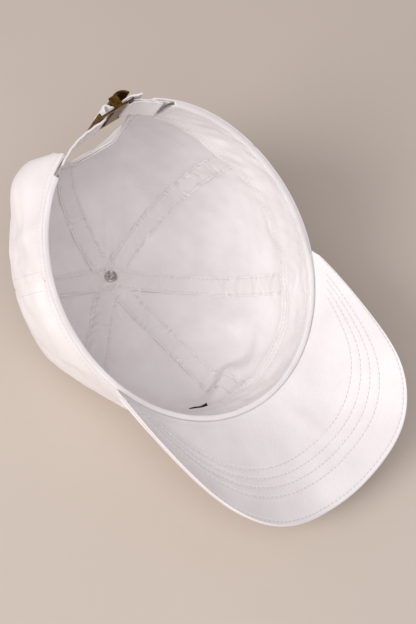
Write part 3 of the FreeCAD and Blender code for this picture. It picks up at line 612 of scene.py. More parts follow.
def ramp(tree, source, stops):
    """Colour ramp with (place, colour) stops."""
    node = add_node(tree, "ShaderNodeValToRGB", {"Fac": source})
    for element, (at, colour) in zip(node.color_ramp.elements, stops):
        element.position, element.color = at, colour
    for at, colour in stops[2:]:
        node.color_ramp.elements.new(at).color = colour
    return node.outputs["Color"]


def noise(tree, coords, scale, detail=3.0, rough=0.55):
    """Value of a noise pattern; scale is in bumps for each metre."""
    node = add_node(
        tree, "ShaderNodeTexNoise", {"Vector": coords}, Scale=scale, Detail=detail, Roughness=rough
    )
    return node.outputs["Fac"]


def finish_material(tree, shader):
    add_node(tree, "ShaderNodeOutputMaterial", {"Surface": shader.outputs["BSDF"]})


WAVE_PERIOD = 0.3142  # a wave texture of scale 1 repeats at this distance, pi / 10 rounded


def woven(name, light, shade, pitch, angle, sheen, weave_depth):
    """Woven cotton: raised diagonal yarns, slubs, random patches of a greyer tone, and painted shade in the
    grooves between the yarns.

    The sheen and the high roughness give the dry, powdery edge of brushed cotton.
    """
    material, tree = new_material(name)
    uv = add_node(tree, "ShaderNodeTexCoord").outputs["UV"]
    place_uv = add_node(tree, "ShaderNodeMapping", {"Vector": uv})
    place_uv.inputs["Rotation"].default_value = (0, 0, angle)
    cloth = place_uv.outputs["Vector"]
    # real twill lines lie 0.6 mm apart; they are drawn at the pitch given, coarser, so that they show
    lines = add_node(
        tree, "ShaderNodeTexWave", {"Vector": cloth}, wave_type="BANDS", bands_direction="X",
        Scale=WAVE_PERIOD / pitch, Distortion=0.6, Detail=1.0,
    )
    lines.inputs["Detail Scale"].default_value = 1.5
    yarns = add_node(
        tree, "ShaderNodeTexWave", {"Vector": cloth}, wave_type="BANDS", bands_direction="Y",
        Scale=WAVE_PERIOD / (pitch * 0.62), Distortion=1.2, Detail=1.0,
    )
    slubs = noise(tree, uv, 900.0, 2.0)
    crumple = noise(tree, uv, 75.0, 4.0, 0.6)
    patches = noise(tree, uv, 22.0, 3.0)
    weave = add_node(
        tree, "ShaderNodeMath", {0: lines.outputs["Fac"], 1: yarns.outputs["Fac"]}, operation="MULTIPLY"
    )
    relief = add_node(tree, "ShaderNodeMath", {0: weave.outputs[0], 1: slubs}, operation="ADD")
    colour = ramp(tree, patches, [(0.36, shade), (0.62, light)])
    # painted shade: the colour is darkened where the weave dips between the yarns, standing in for the shade
    # that falls in those grooves
    yarn_groove_painted_shade = ramp(tree, weave.outputs[0], [(0.0, (0.9, 0.89, 0.88, 1)), (0.45, (1, 1, 1, 1))])
    # a Mix node's colour inputs are its 7th and 8th
    tint = add_node(tree, "ShaderNodeMix", data_type="RGBA", blend_type="MULTIPLY")
    tree.links.new(colour, tint.inputs[6])
    tree.links.new(yarn_groove_painted_shade, tint.inputs[7])
    tint.inputs[0].default_value = 0.5
    soft = add_node(tree, "ShaderNodeBump", {"Height": crumple}, Strength=0.35, Distance=0.0011)
    bump = add_node(
        tree, "ShaderNodeBump", {"Height": relief.outputs[0], "Normal": soft.outputs["Normal"]},
        Strength=0.55, Distance=weave_depth,
    )
    shader = add_node(
        tree, "ShaderNodeBsdfPrincipled",
        {"Base Color": tint.outputs[2], "Normal": bump.outputs["Normal"]},
        Roughness=0.92,
    )
    shader.inputs["Sheen Weight"].default_value = sheen
    shader.inputs["Sheen Roughness"].default_value = 0.55
    shader.inputs["Specular IOR Level"].default_value = 0.25
    finish_material(tree, shader)
    return material


def plain_material(name, colours, roughness, metallic, scale, relief):
    """Moulded or cast surface: two tones, a roughness that wanders and a faint relief."""
    material, tree = new_material(name)
    spot = add_node(tree, "ShaderNodeTexCoord").outputs["Object"]
    broad = noise(tree, spot, scale, 5.0, 0.6)
    fine = noise(tree, spot, scale * 9, 3.0, 0.6)
    colour = ramp(tree, broad, [(0.35, colours[0]), (0.66, colours[1])])
    rough = add_node(tree, "ShaderNodeMapRange", {"Value": fine}, To_Min=roughness[0], To_Max=roughness[1])
    bump = add_node(tree, "ShaderNodeBump", {"Height": fine}, Strength=0.3, Distance=relief)
    shader = add_node(
        tree, "ShaderNodeBsdfPrincipled",
        {"Base Color": colour, "Roughness": rough.outputs["Result"], "Normal": bump.outputs["Normal"]},
        Metallic=metallic,
    )
    finish_material(tree, shader)
    return material


def cotton_twill(colours):
    """Cotton twill, brushed and washed: matt, with a soft diagonal."""
    return woven(
        "washed_cotton_twill", list(colours.twill), list(colours.twill_shade),
        pitch=0.0012, angle=0.9, sheen=0.25, weave_depth=0.00013,
    )


def band_twill(colours):
    """The sweatband's denser twill: flatter and finer than the crown's."""
    return woven(
        "sweatband_twill", list(colours.twill), list(colours.twill_shade),
        pitch=0.0010, angle=2.2, sheen=0.2, weave_depth=0.00016,
    )


def seam_tape(colours):
    """Narrow cotton tape in plain weave, crosswise ribs."""
    return woven(
        "cotton_seam_tape", list(colours.tape), list(colours.twill_shade),
        pitch=0.0011, angle=1.57, sheen=0.15, weave_depth=0.00018,
    )


def strap_twill(colours):
    """Folded twill of the strap, pressed hard by its topstitching."""
    return woven(
        "strap_twill", list(colours.twill), list(colours.twill_shade),
        pitch=0.0011, angle=0.7, sheen=0.2, weave_depth=0.0002,
    )


def interlining(colours):
    """Non-woven felt that hides behind the sweatband: dull and a little grey."""
    return woven(
        "interlining_felt", linear("e6e3df"), linear("d8d4cf"),
        pitch=0.0016, angle=0.2, sheen=0.1, weave_depth=0.0002,
    )


def woven_tab(colours):
    """Satin-woven polyester, dyed black, with a slight gloss."""
    return woven(
        "black_satin_tab", linear("1d1b1c"), linear("100f10"),
        pitch=0.0009, angle=1.57, sheen=0.4, weave_depth=0.00012,
    )


def thread(colours):
    """Spun polyester thread: matt and faintly fuzzy, toned greyer than the cloth as painted shade of its
    stitch holes.
    """
    return woven(
        "spun_thread", list(colours.thread), linear("ddd7d4"),
        pitch=0.0007, angle=0.6, sheen=0.3, weave_depth=0.00008,
    )


def antique_brass(colours):
    """Cast brass, aged brown in its hollows and rubbed bright where it is handled."""
    tones = (linear("4a3416"), list(colours.brass))
    return plain_material("antique_brass", tones, (0.24, 0.5), 1.0, 260.0, 0.00006)


def nickel_steel(colours):
    """Nickel plate over steel: bright, with fine handling marks."""
    tones = (linear("a9a7a2"), linear("d6d3cd"))
    return plain_material("nickel_plated_steel", tones, (0.16, 0.34), 1.0, 300.0, 0.00002)


def button_steel(colours):
    """The button's pressed steel shell: dull grey."""
    tones = (linear("8a8782"), linear("b5b1ab"))
    return plain_material("pressed_steel", tones, (0.35, 0.55), 1.0, 250.0, 0.00003)


def visor_board(colours):
    """Sawn polyethylene sheet: waxy white."""
    tones = (linear("e4e4e0"), linear("f0f0ec"))
    return plain_material("polyethylene_board", tones, (0.4, 0.6), 0.0, 120.0, 0.00005)


MAKERS = {
    maker.__name__: maker
    for maker in (
        cotton_twill, band_twill, seam_tape, strap_twill, interlining, woven_tab, thread,
        antique_brass, nickel_steel, button_steel, visor_board,
    )
}
_finishes = {}


def finish(name):
    """One of the cap's materials, made once."""
    if name not in _finishes:
        _finishes[name] = MAKERS[name](bpy.context.scene.cap_colours)
    return _finishes[name]


# ------------------------------------------------------------------ panels


def seam_roll(gap):
    """How far the panel's outer face turns in beside a seam."""
    return 0.00045 * bell(gap, 0.0006) + 0.00015 * bell(gap, 0.0024)


def panel_surface(near, far, arched):
    """Outer face of a panel from seam to seam and rim to pole."""
    c = crown()
    s = c.sizes
    side = 1.0 if far > 0 else -1.0

    def straight(a, t):
        psi = near + (far - near) * a
        top = c.theta_near_pole(psi, np.full_like(psi, POLE_HOLE))
        return psi, top * t

    def round_arch(a, t):
        first, last = abs(near), abs(far)
        if first > last:
            a, first, last = 1 - a, last, first
        corner_psi, _ = c.arch(np.array([ARCH_END]), 0.0)
        # half the columns end on the rim and the other half on the rear opening
        on_rim = first + (corner_psi[0] - first) * np.minimum(2 * a, 1)
        angle = ARCH_END + (np.pi / 2 - ARCH_END) * np.clip(2 * a - 1, 0, 1) ** 1.05
        arch_psi, arch_theta = c.arch(angle, 0.0)
        low_psi = np.where(a <= 0.5, on_rim, arch_psi)
        low_theta = np.where(a <= 0.5, 0.0, arch_theta)
        high_psi = first + (last - first) * a
        high_theta = c.theta_near_pole(high_psi, np.full_like(a, POLE_HOLE))
        psi = low_psi + (high_psi - low_psi) * t
        return side * psi, low_theta + (high_theta - low_theta) * t

    def surface(a, t):
        psi, theta = round_arch(a, t) if arched else straight(a, t)
        rho, _ = c.profile(psi, theta)
        seams = [near, far]
        gap = np.min([rho * np.abs(turn_gap(psi, seam)) for seam in seams], axis=0)
        points = c.wall(psi, theta, seam_roll(gap))
        middle = (near + far) / 2
        cloth = np.stack([rho * (psi - middle), c.cloth_from_rim(psi, theta)], -1)
        return points, cloth, c.wall(psi, theta, s.panel_thick)

    return surface


class CAP_OT_panels(bpy.types.Operator):
    """Sew the six crown panels, rolled in at the seams and hemmed at the rim"""

    bl_idname = "cap.panels"
    bl_label = "Crown panels"

    def execute(self, context):
        s = context.scene.cap_sizes
        front, back = s.front_seam, s.back_seam
        cuts = {
            "front_panel_right": (0.0, front, 0.085, 0.165, 0.63),
            "front_panel_left": (-front, 0.0, 0.085, 0.165, 0.63),
            "side_panel_right": (front, back, 0.090, 0.160, 0.74),
            "side_panel_left": (-back, -front, 0.090, 0.160, 0.74),
            "back_panel_right": (back, np.pi, 0.098, 0.165, 0.74),
            "back_panel_left": (-np.pi, -back, 0.098, 0.165, 0.74),
        }
        for node, (near, far, wide, tall, filled) in cuts.items():
            arched = node.startswith("back")
            piece = sheet_from(
                node + "_cloth", 96, 120, panel_surface(near, far, arched), s.panel_thick, 0.00035,
                towards_core=False, bunched=(0.8, 0.0),
            )
            hand_over(piece, finish("cotton_twill"), (node,))
        return {"FINISHED"}


# ------------------------------------------------------------------ seam tapes

TAPE_DEPTH = 0.00172
TAPE_THICK = 0.0005
TAPE_EDGE = 0.00016
STITCH_ACROSS = 0.0051
FRONT_TAPE_SHIFT = 0.0042


def tape_spot(psi, rho, across):
    """Turn and climb of a point beside a seam line, a distance across it."""
    c = crown()
    polar_psi = psi + np.arctan2(across, rho)
    polar_theta = c.theta_near_pole(polar_psi, np.hypot(rho, across))
    return polar_psi, polar_theta


def tape_place(psi, theta, across):
    """Turn and climb across a tape: by distance from the pole near it, and by turn near the rim."""
    c = crown()
    rho, _ = c.profile(psi, theta)
    if abs(float(psi.flat[0])) < 0.01:
        gone = c.cloth_from_rim(psi, theta)
        across = across + FRONT_TAPE_SHIFT * (1 - smooth_step(gone, 0.040, 0.057))
    polar_psi, polar_theta = tape_spot(psi, rho, across)
    side_psi = psi + across / np.maximum(rho, 0.01)
    mix = smooth_step(rho, 0.035, 0.062)
    return polar_psi + (side_psi - polar_psi) * mix, polar_theta + (theta - polar_theta) * mix


def crossing_place(along, across):
    """Turn and climb on the tape that crosses the pole; along is the signed distance over it."""
    c = crown()
    s = c.sizes
    near = np.array([math.sin(s.front_seam), -math.cos(s.front_seam)])
    far = np.array([math.sin(-s.back_seam), -math.cos(s.back_seam)])
    half = (far - near) / 2
    lean = (far + near) / 2
    round_off = np.sqrt(along**2 + 0.006**2)
    middle = along[:, None] * half + (round_off - 0.006 * bell(along, 0.02))[:, None] * lean
    ahead = half + (along / round_off)[:, None] * lean
    ahead /= np.linalg.norm(ahead, axis=1, keepdims=True)
    plan = middle + across[:, None] * np.stack([-ahead[:, 1], ahead[:, 0]], -1)
    psi = np.arctan2(plan[:, 0], -plan[:, 1])
    return psi, c.theta_near_pole(psi, np.hypot(plan[:, 0], plan[:, 1]))


def tape_depth(psi, theta, across, lift):
    """Depth of a tape's inner face: puckered, dipped at its rows and lifted over others at the pole."""
    c = crown()
    rho, z = c.profile(psi, theta)
    spot = np.stack([rho * np.sin(psi), -rho * np.cos(psi), z], -1)
    dips = bell(np.abs(across) - STITCH_ACROSS, 0.0007)
    cloth = c.cloth_from_rim(psi, theta)
    wave = np.sin(2 * np.pi * cloth / 0.0062 + 3 * ripples(spot, 6, 0.015, 0.04, 5))
    edge = smooth_step(np.abs(across), 0.0, 0.0062)
    depth = TAPE_DEPTH + 0.00034 * wave * edge * (1 + 0.5 * ripples(spot, 5, 0.01, 0.03, 8))
    depth = depth + 0.00018 * ripples(spot, 6, 0.006, 0.014, 9) - 0.00032 * dips
    return depth + lift * bell(rho, 0.017)


def half_tape_surface(psi, start, end_rho, lift):
    """Tape from a cloth distance in from the rim to a distance from the pole."""
    c = crown()
    wide = c.sizes.tape_width

    def surface(a, t):
        low = c.theta_at(np.array([psi]), np.array([start]))[0]
        high = c.theta_near_pole(np.array([psi]), np.array([end_rho]))[0]
        across = (a - 0.5) * wide
        middle = np.full_like(a, psi)
        turn, climb = tape_place(middle, low + (high - low) * t, across)
        points = c.wall(turn, climb, tape_depth(turn, climb, across, lift))
        return points, np.stack([across, c.cloth_from_rim(turn, climb)], -1)

    return surface


def crossing_surface(near_start, far_start, lift):
    """The long tape over the pole."""
    c = crown()
    s = c.sizes

    def surface(a, t):
        across = (a - 0.5) * s.tape_width
        blend_rho = 0.05
        near_psi = np.array([s.front_seam])
        far_psi = np.array([-s.back_seam])
        cloths = []
        for psi, start in ((near_psi, near_start), (far_psi, far_start)):
            top = c.cloth_from_rim(psi, c.theta_near_pole(psi, np.array([blend_rho])))[0]
            cloths.append((top - start, top))
        total = cloths[0][0] + 2 * blend_rho + cloths[1][0]
        gone = t * total
        over = np.clip(gone - cloths[0][0] - blend_rho, -blend_rho, blend_rho)
        turn, climb = crossing_place(over, across)
        for psi, start, low in (
            (near_psi[0], near_start, gone),
            (far_psi[0], far_start, total - gone),
        ):
            side = -across if psi > 0 else across
            line = np.full_like(a, psi)
            rim_turn, rim_climb = tape_place(line, c.theta_at(line, start + low), side)
            rho = c.profile(line, c.theta_at(line, start + low))[0]
            near_side = (gone < total / 2) if psi > 0 else (gone >= total / 2)
            mix = np.where(near_side, smooth_step(rho, 0.03, 0.048), 0.0)
            turn = turn + turn_gap(rim_turn, turn) * mix
            climb = climb + (rim_climb - climb) * mix
        points = c.wall(turn, climb, tape_depth(turn, climb, across, lift))
        return points, np.stack([across, gone], -1)

    return surface


class CAP_OT_tapes(bpy.types.Operator):
    """Lay the cotton tapes over the seams inside the crown"""

    bl_idname = "cap.tapes"
    bl_label = "Seam tapes"

    def execute(self, context):
        s = context.scene.cap_sizes
        back_start = s.arch_height + s.back_rise + s.binding_width - 0.001
        tapes = {
            "seam_tape_front": (0.0, 0.020, 0.0050, 0.00062, 190),
            "seam_tape_left_front": (-s.front_seam, 0.020, 0.0062, 0.00030, 190),
            "seam_tape_right_back": (s.back_seam, 0.020, 0.0050, 0.00062, 190),
            "seam_tape_back": (np.pi - 1e-6, back_start, 0.0062, 0.00030, 130),
        }
        cloth = finish("seam_tape")
        for node, (psi, start, end_rho, lift, cells) in tapes.items():
            surface = half_tape_surface(psi, start, end_rho, lift)
            piece = sheet_from(
                node + "_cotton", 26, cells, surface, TAPE_THICK, TAPE_EDGE, True, bunched=(0.5, 0)
            )
            hand_over(piece, cloth, (node,))
        piece = sheet_from(
            "seam_tape_crossing_cotton", 26, 380, crossing_surface(0.020, 0.020, 0.00105),
            TAPE_THICK, TAPE_EDGE, True, bunched=(0.5, 0),
        )
        hand_over(piece, cloth, ("seam_tape_crossing",))
        return {"FINISHED"}


class CAP_OT_seam_stitches(bpy.types.Operator):
    """Sew the twin rows beside each crown seam, inside on the tapes and outside on the panels"""

    bl_idname = "cap.seam_stitches"
    bl_label = "Seam stitches"

    def execute(self, context):
        s = context.scene.cap_sizes
        c = crown()
        inside, outside = [], []
        back_start = s.arch_height + s.back_rise + s.binding_width
        ends = {
            0.0: (0.008, 0.0095, 0.00062), s.front_seam: (0.008, 0.0005, 0.00105),
            s.back_seam: (0.008, 0.0095, 0.00062), np.pi - 1e-6: (back_start, 0.0125, 0.0003),
            -s.back_seam: (0.008, 0.0005, 0.00105), -s.front_seam: (0.008, 0.0105, 0.0003),
        }
        for psi, (start, end_rho, lift) in ends.items():
            for across in (-STITCH_ACROSS, STITCH_ACROSS):
                low = c.theta_at(np.array([psi]), np.array([start]))[0]
                high = c.theta_near_pole(np.array([psi]), np.array([end_rho]))[0]
                climb = np.linspace(low, high, 160)
                offset = np.full(160, across)
                turn, theta = tape_place(np.full(160, psi), climb, offset)
                dip = tape_depth(turn, theta, offset, lift) + 0.00004
                inside.append(wall_row(turn, theta, dip, True))
                keep = c.profile(turn, theta)[0] > 0.0072
                outside.append(wall_row(turn[keep], theta[keep], np.full(keep.sum(), 0.00006), False))
        sew("tape_stitches", inside, long=0.0025, wide=0.00048, high=0.00042)
        sew("panel_stitches", outside)
        return {"FINISHED"}


# ------------------------------------------------------------------ sweatband and facings

BAND_DEPTH = 0.00435
BAND_THICK = 0.0011
BAND_END = math.radians(151)
ROLL = 0.0017
BAND_ROWS = (0.0042, 0.0235, 0.0262, 0.0289)
TAB_TURN, TAB_WIDE = math.radians(-17), 0.0131
TAB_START, TAB_SHOW, TAB_CURL = 0.020, 0.0031, 0.0024


def band_depth(psi, cloth):
    """Depth of the sweatband's inner face, standing off a little at its free edge."""
    c = crown()
    spot = np.stack([np.sin(psi) * 0.085, np.cos(psi) * 0.09, cloth], -1)
    wave = ripples(spot, 7, 0.03, 0.09, 21)
    free = smooth_step(cloth, 0.012, c.sizes.band_width)
    depth = BAND_DEPTH + free * (0.0007 + 0.0006 * wave)
    for row in BAND_ROWS:
        depth = depth - 0.00022 * bell(cloth - row, 0.0006)
    fine = ripples(spot, 6, 0.006, 0.013, 22)
    return depth + 0.00012 * fine


def band_surface(a, t):
    """Sweatband from its rolled edge on the rim down to its free edge."""
    c = crown()
    psi = -BAND_END + 2 * BAND_END * a
    roll_cloth = 2.95 * ROLL
    cloth = -roll_cloth + (c.sizes.band_width + roll_cloth) * t
    turned = np.clip(-cloth / ROLL, 0, None)
    visor = 1 - smooth_step(np.abs(psi), math.radians(60), math.radians(72))
    tall = 0.24 + 0.16 * visor
    depth = np.where(cloth < 0, BAND_DEPTH - ROLL + ROLL * np.cos(turned), band_depth(psi, cloth))
    theta = c.theta_at(psi, np.maximum(cloth, 0))
    points = c.wall(psi, theta, depth)
    lift = np.where(cloth < 0, ROLL * np.sin(turned) * tall, 0.0)
    points = points + lift[:, None] * OPEN_UP
    return points, np.stack([psi * 0.088, cloth], -1)


class CAP_OT_sweatband(bpy.types.Operator):
    """Make the sweatband with its rolled rim, its interlining and the small woven tab"""

    bl_idname = "cap.sweatband"
    bl_label = "Sweatband"

    def execute(self, context):
        c = crown()
        s = c.sizes
        piece = sheet_from("sweatband_cloth", 460, 64, band_surface, BAND_THICK, 0.0003, True)
        hand_over(piece, finish("band_twill"), ("sweatband",))

        def lining(a, t):
            psi = (2 * a - 1) * BAND_END
            cloth = 0.002 + 0.017 * t
            points = c.wall(psi, c.theta_at(psi, cloth), 0.00290)
            return points, np.stack([psi * 0.088, cloth], -1)

        piece = sheet_from("sweatband_interlining_felt", 220, 10, lining, 0.0005, 0.0, True)
        hand_over(piece, finish("interlining"), ("sweatband_interlining",))

        def tab(a, t):
            psi = TAB_TURN + (a - 0.5) * TAB_WIDE / s.front_reach
            cloth = TAB_START + (s.band_width + TAB_SHOW - TAB_START) * t
            curl = TAB_CURL * smooth_step(cloth, 0.0315, 0.0350) + 0.0003 * np.sin(7 * a) * t
            points = c.wall(psi, c.theta_at(psi, cloth), 0.0031 + curl)
            return points, np.stack([psi * s.front_reach, cloth], -1)

        piece = sheet_from("woven_tab_satin", 26, 24, tab, 0.0006, 0.0002, True)
        hand_over(piece, finish("woven_tab"), ("woven_tab",))

        rows = []
        for cloth in BAND_ROWS:
            psi = np.linspace(-BAND_END + 0.03, BAND_END - 0.03, 500)
            theta = c.theta_at(psi, np.full_like(psi, cloth))
            rows.append(wall_row(psi, theta, band_depth(psi, np.full_like(psi, cloth)) + 0.00008, True))
        sew("sweatband_stitches", rows, long=0.0025, wide=0.00048, high=0.00042)

        hem = []
        for cloth in (0.0021, 0.0040):
            for side in (-1, 1):
                psi = side * np.linspace(math.radians(67), math.radians(157), 300)
                theta = c.theta_at(psi, np.full_like(psi, cloth))
                hem.append(wall_row(psi, theta, np.full(300, 0.00002), False))
        for psi, cloth in ((math.radians(67), 0.0065), (math.radians(62), 0.0075)):
            cloths = np.linspace(cloth - 0.0016, cloth + 0.0016, 12)
            psis = np.full(12, psi)
            hem.append(wall_row(psis, c.theta_at(psis, cloths), band_depth(psis, cloths) + 0.0001, True))
        sew("hem_stitches", hem, pitch=0.0027, long=0.0022)
        return {"FINISHED"}


class CAP_OT_arch(bpy.types.Operator):
    """Face the rear opening with a curved binding and sew it down"""

    bl_idname = "cap.arch"
    bl_label = "Rear opening"

    def execute(self, context):
        c = crown()
        s = c.sizes

        def binding(a, t):
            grow = s.binding_width * t
            end = ARCH_END + 0.02 * t
            angle = end + (np.pi - 2 * end) * a
            psi, theta = c.arch(angle, grow)
            crease = 0.00016 * np.sin(angle * 46 + 2 * np.sin(angle * 9)) * smooth_step(t, 0.1, 0.5)
            points = c.wall(psi, theta, 0.00215 + crease - 0.0002 * bell(grow - 0.0075, 0.0008))
            return points, np.stack([angle * 0.042, grow], -1)

        piece = sheet_from("arch_binding_twill", 200, 18, binding, 0.0009, 0.0003, True)
        hand_over(piece, finish("seam_tape"), ("arch_binding",))
        rows = []
        for grow in (0.0016, 0.0078):
            angle = np.linspace(0.10, np.pi - 0.10, 300)
            psi, theta = c.arch(angle, grow)
            rows.append(wall_row(psi, theta, np.full(300, 0.00222), True))
            rows.append(wall_row(psi, theta, np.full(300, 0.00002), False))
        sew("arch_stitches", rows, pitch=0.0027, long=0.0022)
        return {"FINISHED"}


# ------------------------------------------------------------------ visor

VISOR_HALF = math.radians(64.5)
SEAM_OUT = 0.0004
COVER_OUT = 0.0018
ROW_INSETS = (0.003, 0.017, 0.0225, 0.028, 0.0335)
VISOR_FLARE, VISOR_RISE, VISOR_CURVE = 0.026, 0.030, 0.06


def visor_size(share):
    s = crown().sizes
    angle = VISOR_HALF * share
    radius = 1 / np.hypot(np.sin(angle) / s.half_width, np.cos(angle) / s.front_reach)
    long = s.visor_length * (1 - np.abs(share) ** 2.4) ** 0.8
    return radius * np.sin(angle), -radius * np.cos(angle), long


def visor_place(share, gone, lift):
    """Visor points at a share across and a distance out from the seam, lifted off the middle."""
    s = crown().sizes
    seam_x, seam_y, long = visor_size(share)
    reach = gone / long
    x = seam_x + VISOR_FLARE * np.sin(np.pi * share) / 2 * reach
    y = seam_y - SEAM_OUT - gone
    curve = (x * x - seam_x * seam_x) / (2 * VISOR_CURVE)
    slope = np.sqrt(1 + (x / VISOR_CURVE) ** 2 + (VISOR_RISE / s.visor_length) ** 2)
    z = VISOR_RISE * gone / s.visor_length + curve + lift * slope
    spot = np.stack([x, y, x * 0], -1)
    z = z + 0.00035 * ripples(spot, 7, 0.03, 0.09, 31) * smooth_step(gone, 0.0, 0.012)
    return place(np.stack([x, y, z], -1)), spot


def cover_lift(inset, gone, seam_lift):
    """Height of a cover over the visor's middle: rolled at the edge, dipped at its rows."""
    roll = COVER_OUT * np.sqrt(np.clip(1 - np.clip(1 - inset / COVER_OUT, 0, 1) ** 2, 0.0004, 1))
    dips = sum(bell(inset - row, 0.0007) for row in ROW_INSETS)
    quilt = 0.00016 * smooth_step(inset, 0.014, 0.017) * (1 - smooth_step(inset, 0.034, 0.037))
    lift = roll + quilt - 0.00030 * dips * smooth_step(gone, 0.002, 0.006)
    return seam_lift + (lift - seam_lift) * smooth_step(gone, -0.0004, 0.0035)


def cover_surface(side, inner_end, seam_lift):
    """Outer face of the under cover, side +1, or the top cover, side -1."""

    def surface(a, t):
        share = 0.982 * np.sin(np.pi / 2 * (2 * a - 1))
        long = visor_size(share)[2]
        eased = 1 - (1 - t) ** 1.35
        gone = inner_end + (long - inner_end) * eased
        inset = long - gone
        points, plan = visor_place(share, gone, side * cover_lift(inset, gone, seam_lift))
        if side > 0:
            ridge = 0.0005 * bell(share - 0.06 - gone * 1.2, 0.035) * bell(gone - 0.02, 0.016)
            points = points + ridge[:, None] * OPEN_UP
        return points, plan[:, :2]

    return surface


class CAP_OT_visor(bpy.types.Operator):
    """Cover the visor board above and below and sew its edge row and four rows"""

    bl_idname = "cap.visor"
    bl_label = "Visor"

    def execute(self, context):
        for node, side, inner_end, seam_lift in (
            ("visor_under_cover", 1, -0.0014, 0.0013),
            ("visor_top_cover", -1, -0.0003, 0.00125),
        ):
            piece = new_grid(node + "_cloth", 190, 96)
            shares = get_points(piece)[:, :2] + 0.5
            points, cloth = cover_surface(side, inner_end, seam_lift)(shares[:, 0], shares[:, 1])
            set_points(piece, points)
            set_cloth(piece, cloth)
            face_towards(piece, place(np.array([0.0, -0.12, 0.3])), side > 0)
            finish_sheet(piece, 0.0006, 0.0)
            hand_over(piece, finish("cotton_twill"), (node,))
        under, top = [], []
        for inset in ROW_INSETS:
            room = (inset + 0.005) / context.scene.cap_sizes.visor_length
            span = (1 - room**1.25) ** (1 / 2.4)
            share = span * np.sin(np.linspace(-np.pi / 2, np.pi / 2, 400))
            gone = visor_size(share)[2] - inset
            for side, rows in ((1, under), (-1, top)):
                lift = cover_lift(np.full_like(gone, inset), gone, 0.0012) + 0.00016
                line, _ = visor_place(share, gone, side * lift)
                higher, _ = visor_place(share, gone, side * (lift + 0.001))
                rows.append((line, (higher - line) * 1000))
        sew("visor_under_stitches", under, replaces=("visor_topstitching",), pitch=0.0029)
        sew("visor_top_stitches", top, pitch=0.0029)
        board = bpy.data.objects["visor_board"]
        for slot in board.material_slots:
            slot.material = finish("visor_board")
        return {"FINISHED"}


# ------------------------------------------------------------------ strap and buckle

STRAP_LINE = 0.090
STRAP_LOW, STRAP_HIGH = -0.0145, 0.0055
STRAP_TILT = math.radians(12)
LONG_PATH = [
    (-36.6, -8.8), (-33.2, -6.9), (-29.5, -5.1), (-25.0, -3.3), (-18.0, -1.3), (-8.0, -0.2),
    (-3.0, -0.2), (0.2, 0.2), (1.9, 1.9), (2.6, 4.4), (3.6, 6.6), (5.0, 7.3), (6.3, 6.2),
    (7.2, 4.5), (8.8, 3.4), (11.0, 3.2), (14.0, 3.4), (18.0, 4.3), (21.5, 4.3), (25.0, 3.0), (28.8, 1.9),
]
ANCHOR_PATH = [
    (35.9, -8.7), (32.2, -5.8), (27.9, -2.8), (24.3, -0.7), (21.0, 0.5), (19.0, 0.5),
    (17.75, 0.5), (17.75, 1.7), (17.75, 2.9), (19.5, 2.9), (21.7, 2.9),
    (21.9, 1.6), (24.8, 0.25), (28.4, -2.0), (32.7, -4.9), (36.4, -7.9),
]


def round_line(points):
    """Line given in millimetres, its corners cut three times, in metres."""
    line = np.array(points, float)
    for _ in range(3):
        low = line[:-1] * 0.75 + line[1:] * 0.25
        high = line[:-1] * 0.25 + line[1:] * 0.75
        middle = np.stack([low, high], 1).reshape(-1, 2)
        line = np.concatenate([line[:1], middle, line[-1:]])
    return line * MM


def tilted(x, out, z):
    """Row-frame points of the strap, tilted about its middle line as the buckle is."""
    middle = (STRAP_LOW + STRAP_HIGH) / 2
    back = STRAP_LINE + out * math.cos(STRAP_TILT) + (z - middle) * math.sin(STRAP_TILT)
    up = middle + (z - middle) * math.cos(STRAP_TILT) - out * math.sin(STRAP_TILT)
    return place(np.stack(np.broadcast_arrays(x, back, up), -1))


def strap_lines(path):
    """Rounded path with the distance gone and its direction out of the strap."""
    line = round_line(path)
    gone = np.concatenate([[0], np.cumsum(np.linalg.norm(np.diff(line, axis=0), axis=1))])
    ahead = np.gradient(line, axis=0)
    ahead /= np.linalg.norm(ahead, axis=1, keepdims=True)
    return line, gone, np.stack([-ahead[:, 1], ahead[:, 0]], -1)


def ribbon_surface(path, low, high):
    line, gone, _ = strap_lines(path)

    def surface(a, t):
        along = a * gone[-1]
        x, out = np.interp(along, gone, line[:, 0]), np.interp(along, gone, line[:, 1])
        z = low + (high - low) * t
        soft = 0.00012 * np.sin(along * 900 + 5 * t) * np.abs(2 * t - 1)
        points = tilted(x, out + soft, z)
        return points, np.stack([along, z], -1)

    return surface


def ribbon_rows(path, heights, off):
    """Stitch rows on both faces of a ribbon, clear of its ends."""
    line, gone, out_way = strap_lines(path)
    rows = []
    along = np.linspace(0.004, gone[-1] - 0.004, 260)
    spots = np.stack([np.interp(along, gone, line[:, i]) for i in (0, 1)], -1)
    ways = np.stack([np.interp(along, gone, out_way[:, i]) for i in (0, 1)], -1)
    ways /= np.linalg.norm(ways, axis=1, keepdims=True)
    for height in heights:
        for side in (-1, 1):
            moved = spots + side * off * ways
            further = moved + side * 0.001 * ways
            line = tilted(moved[:, 0], moved[:, 1], height)
            rows.append((line, (tilted(further[:, 0], further[:, 1], height) - line) * 1000))
    return rows


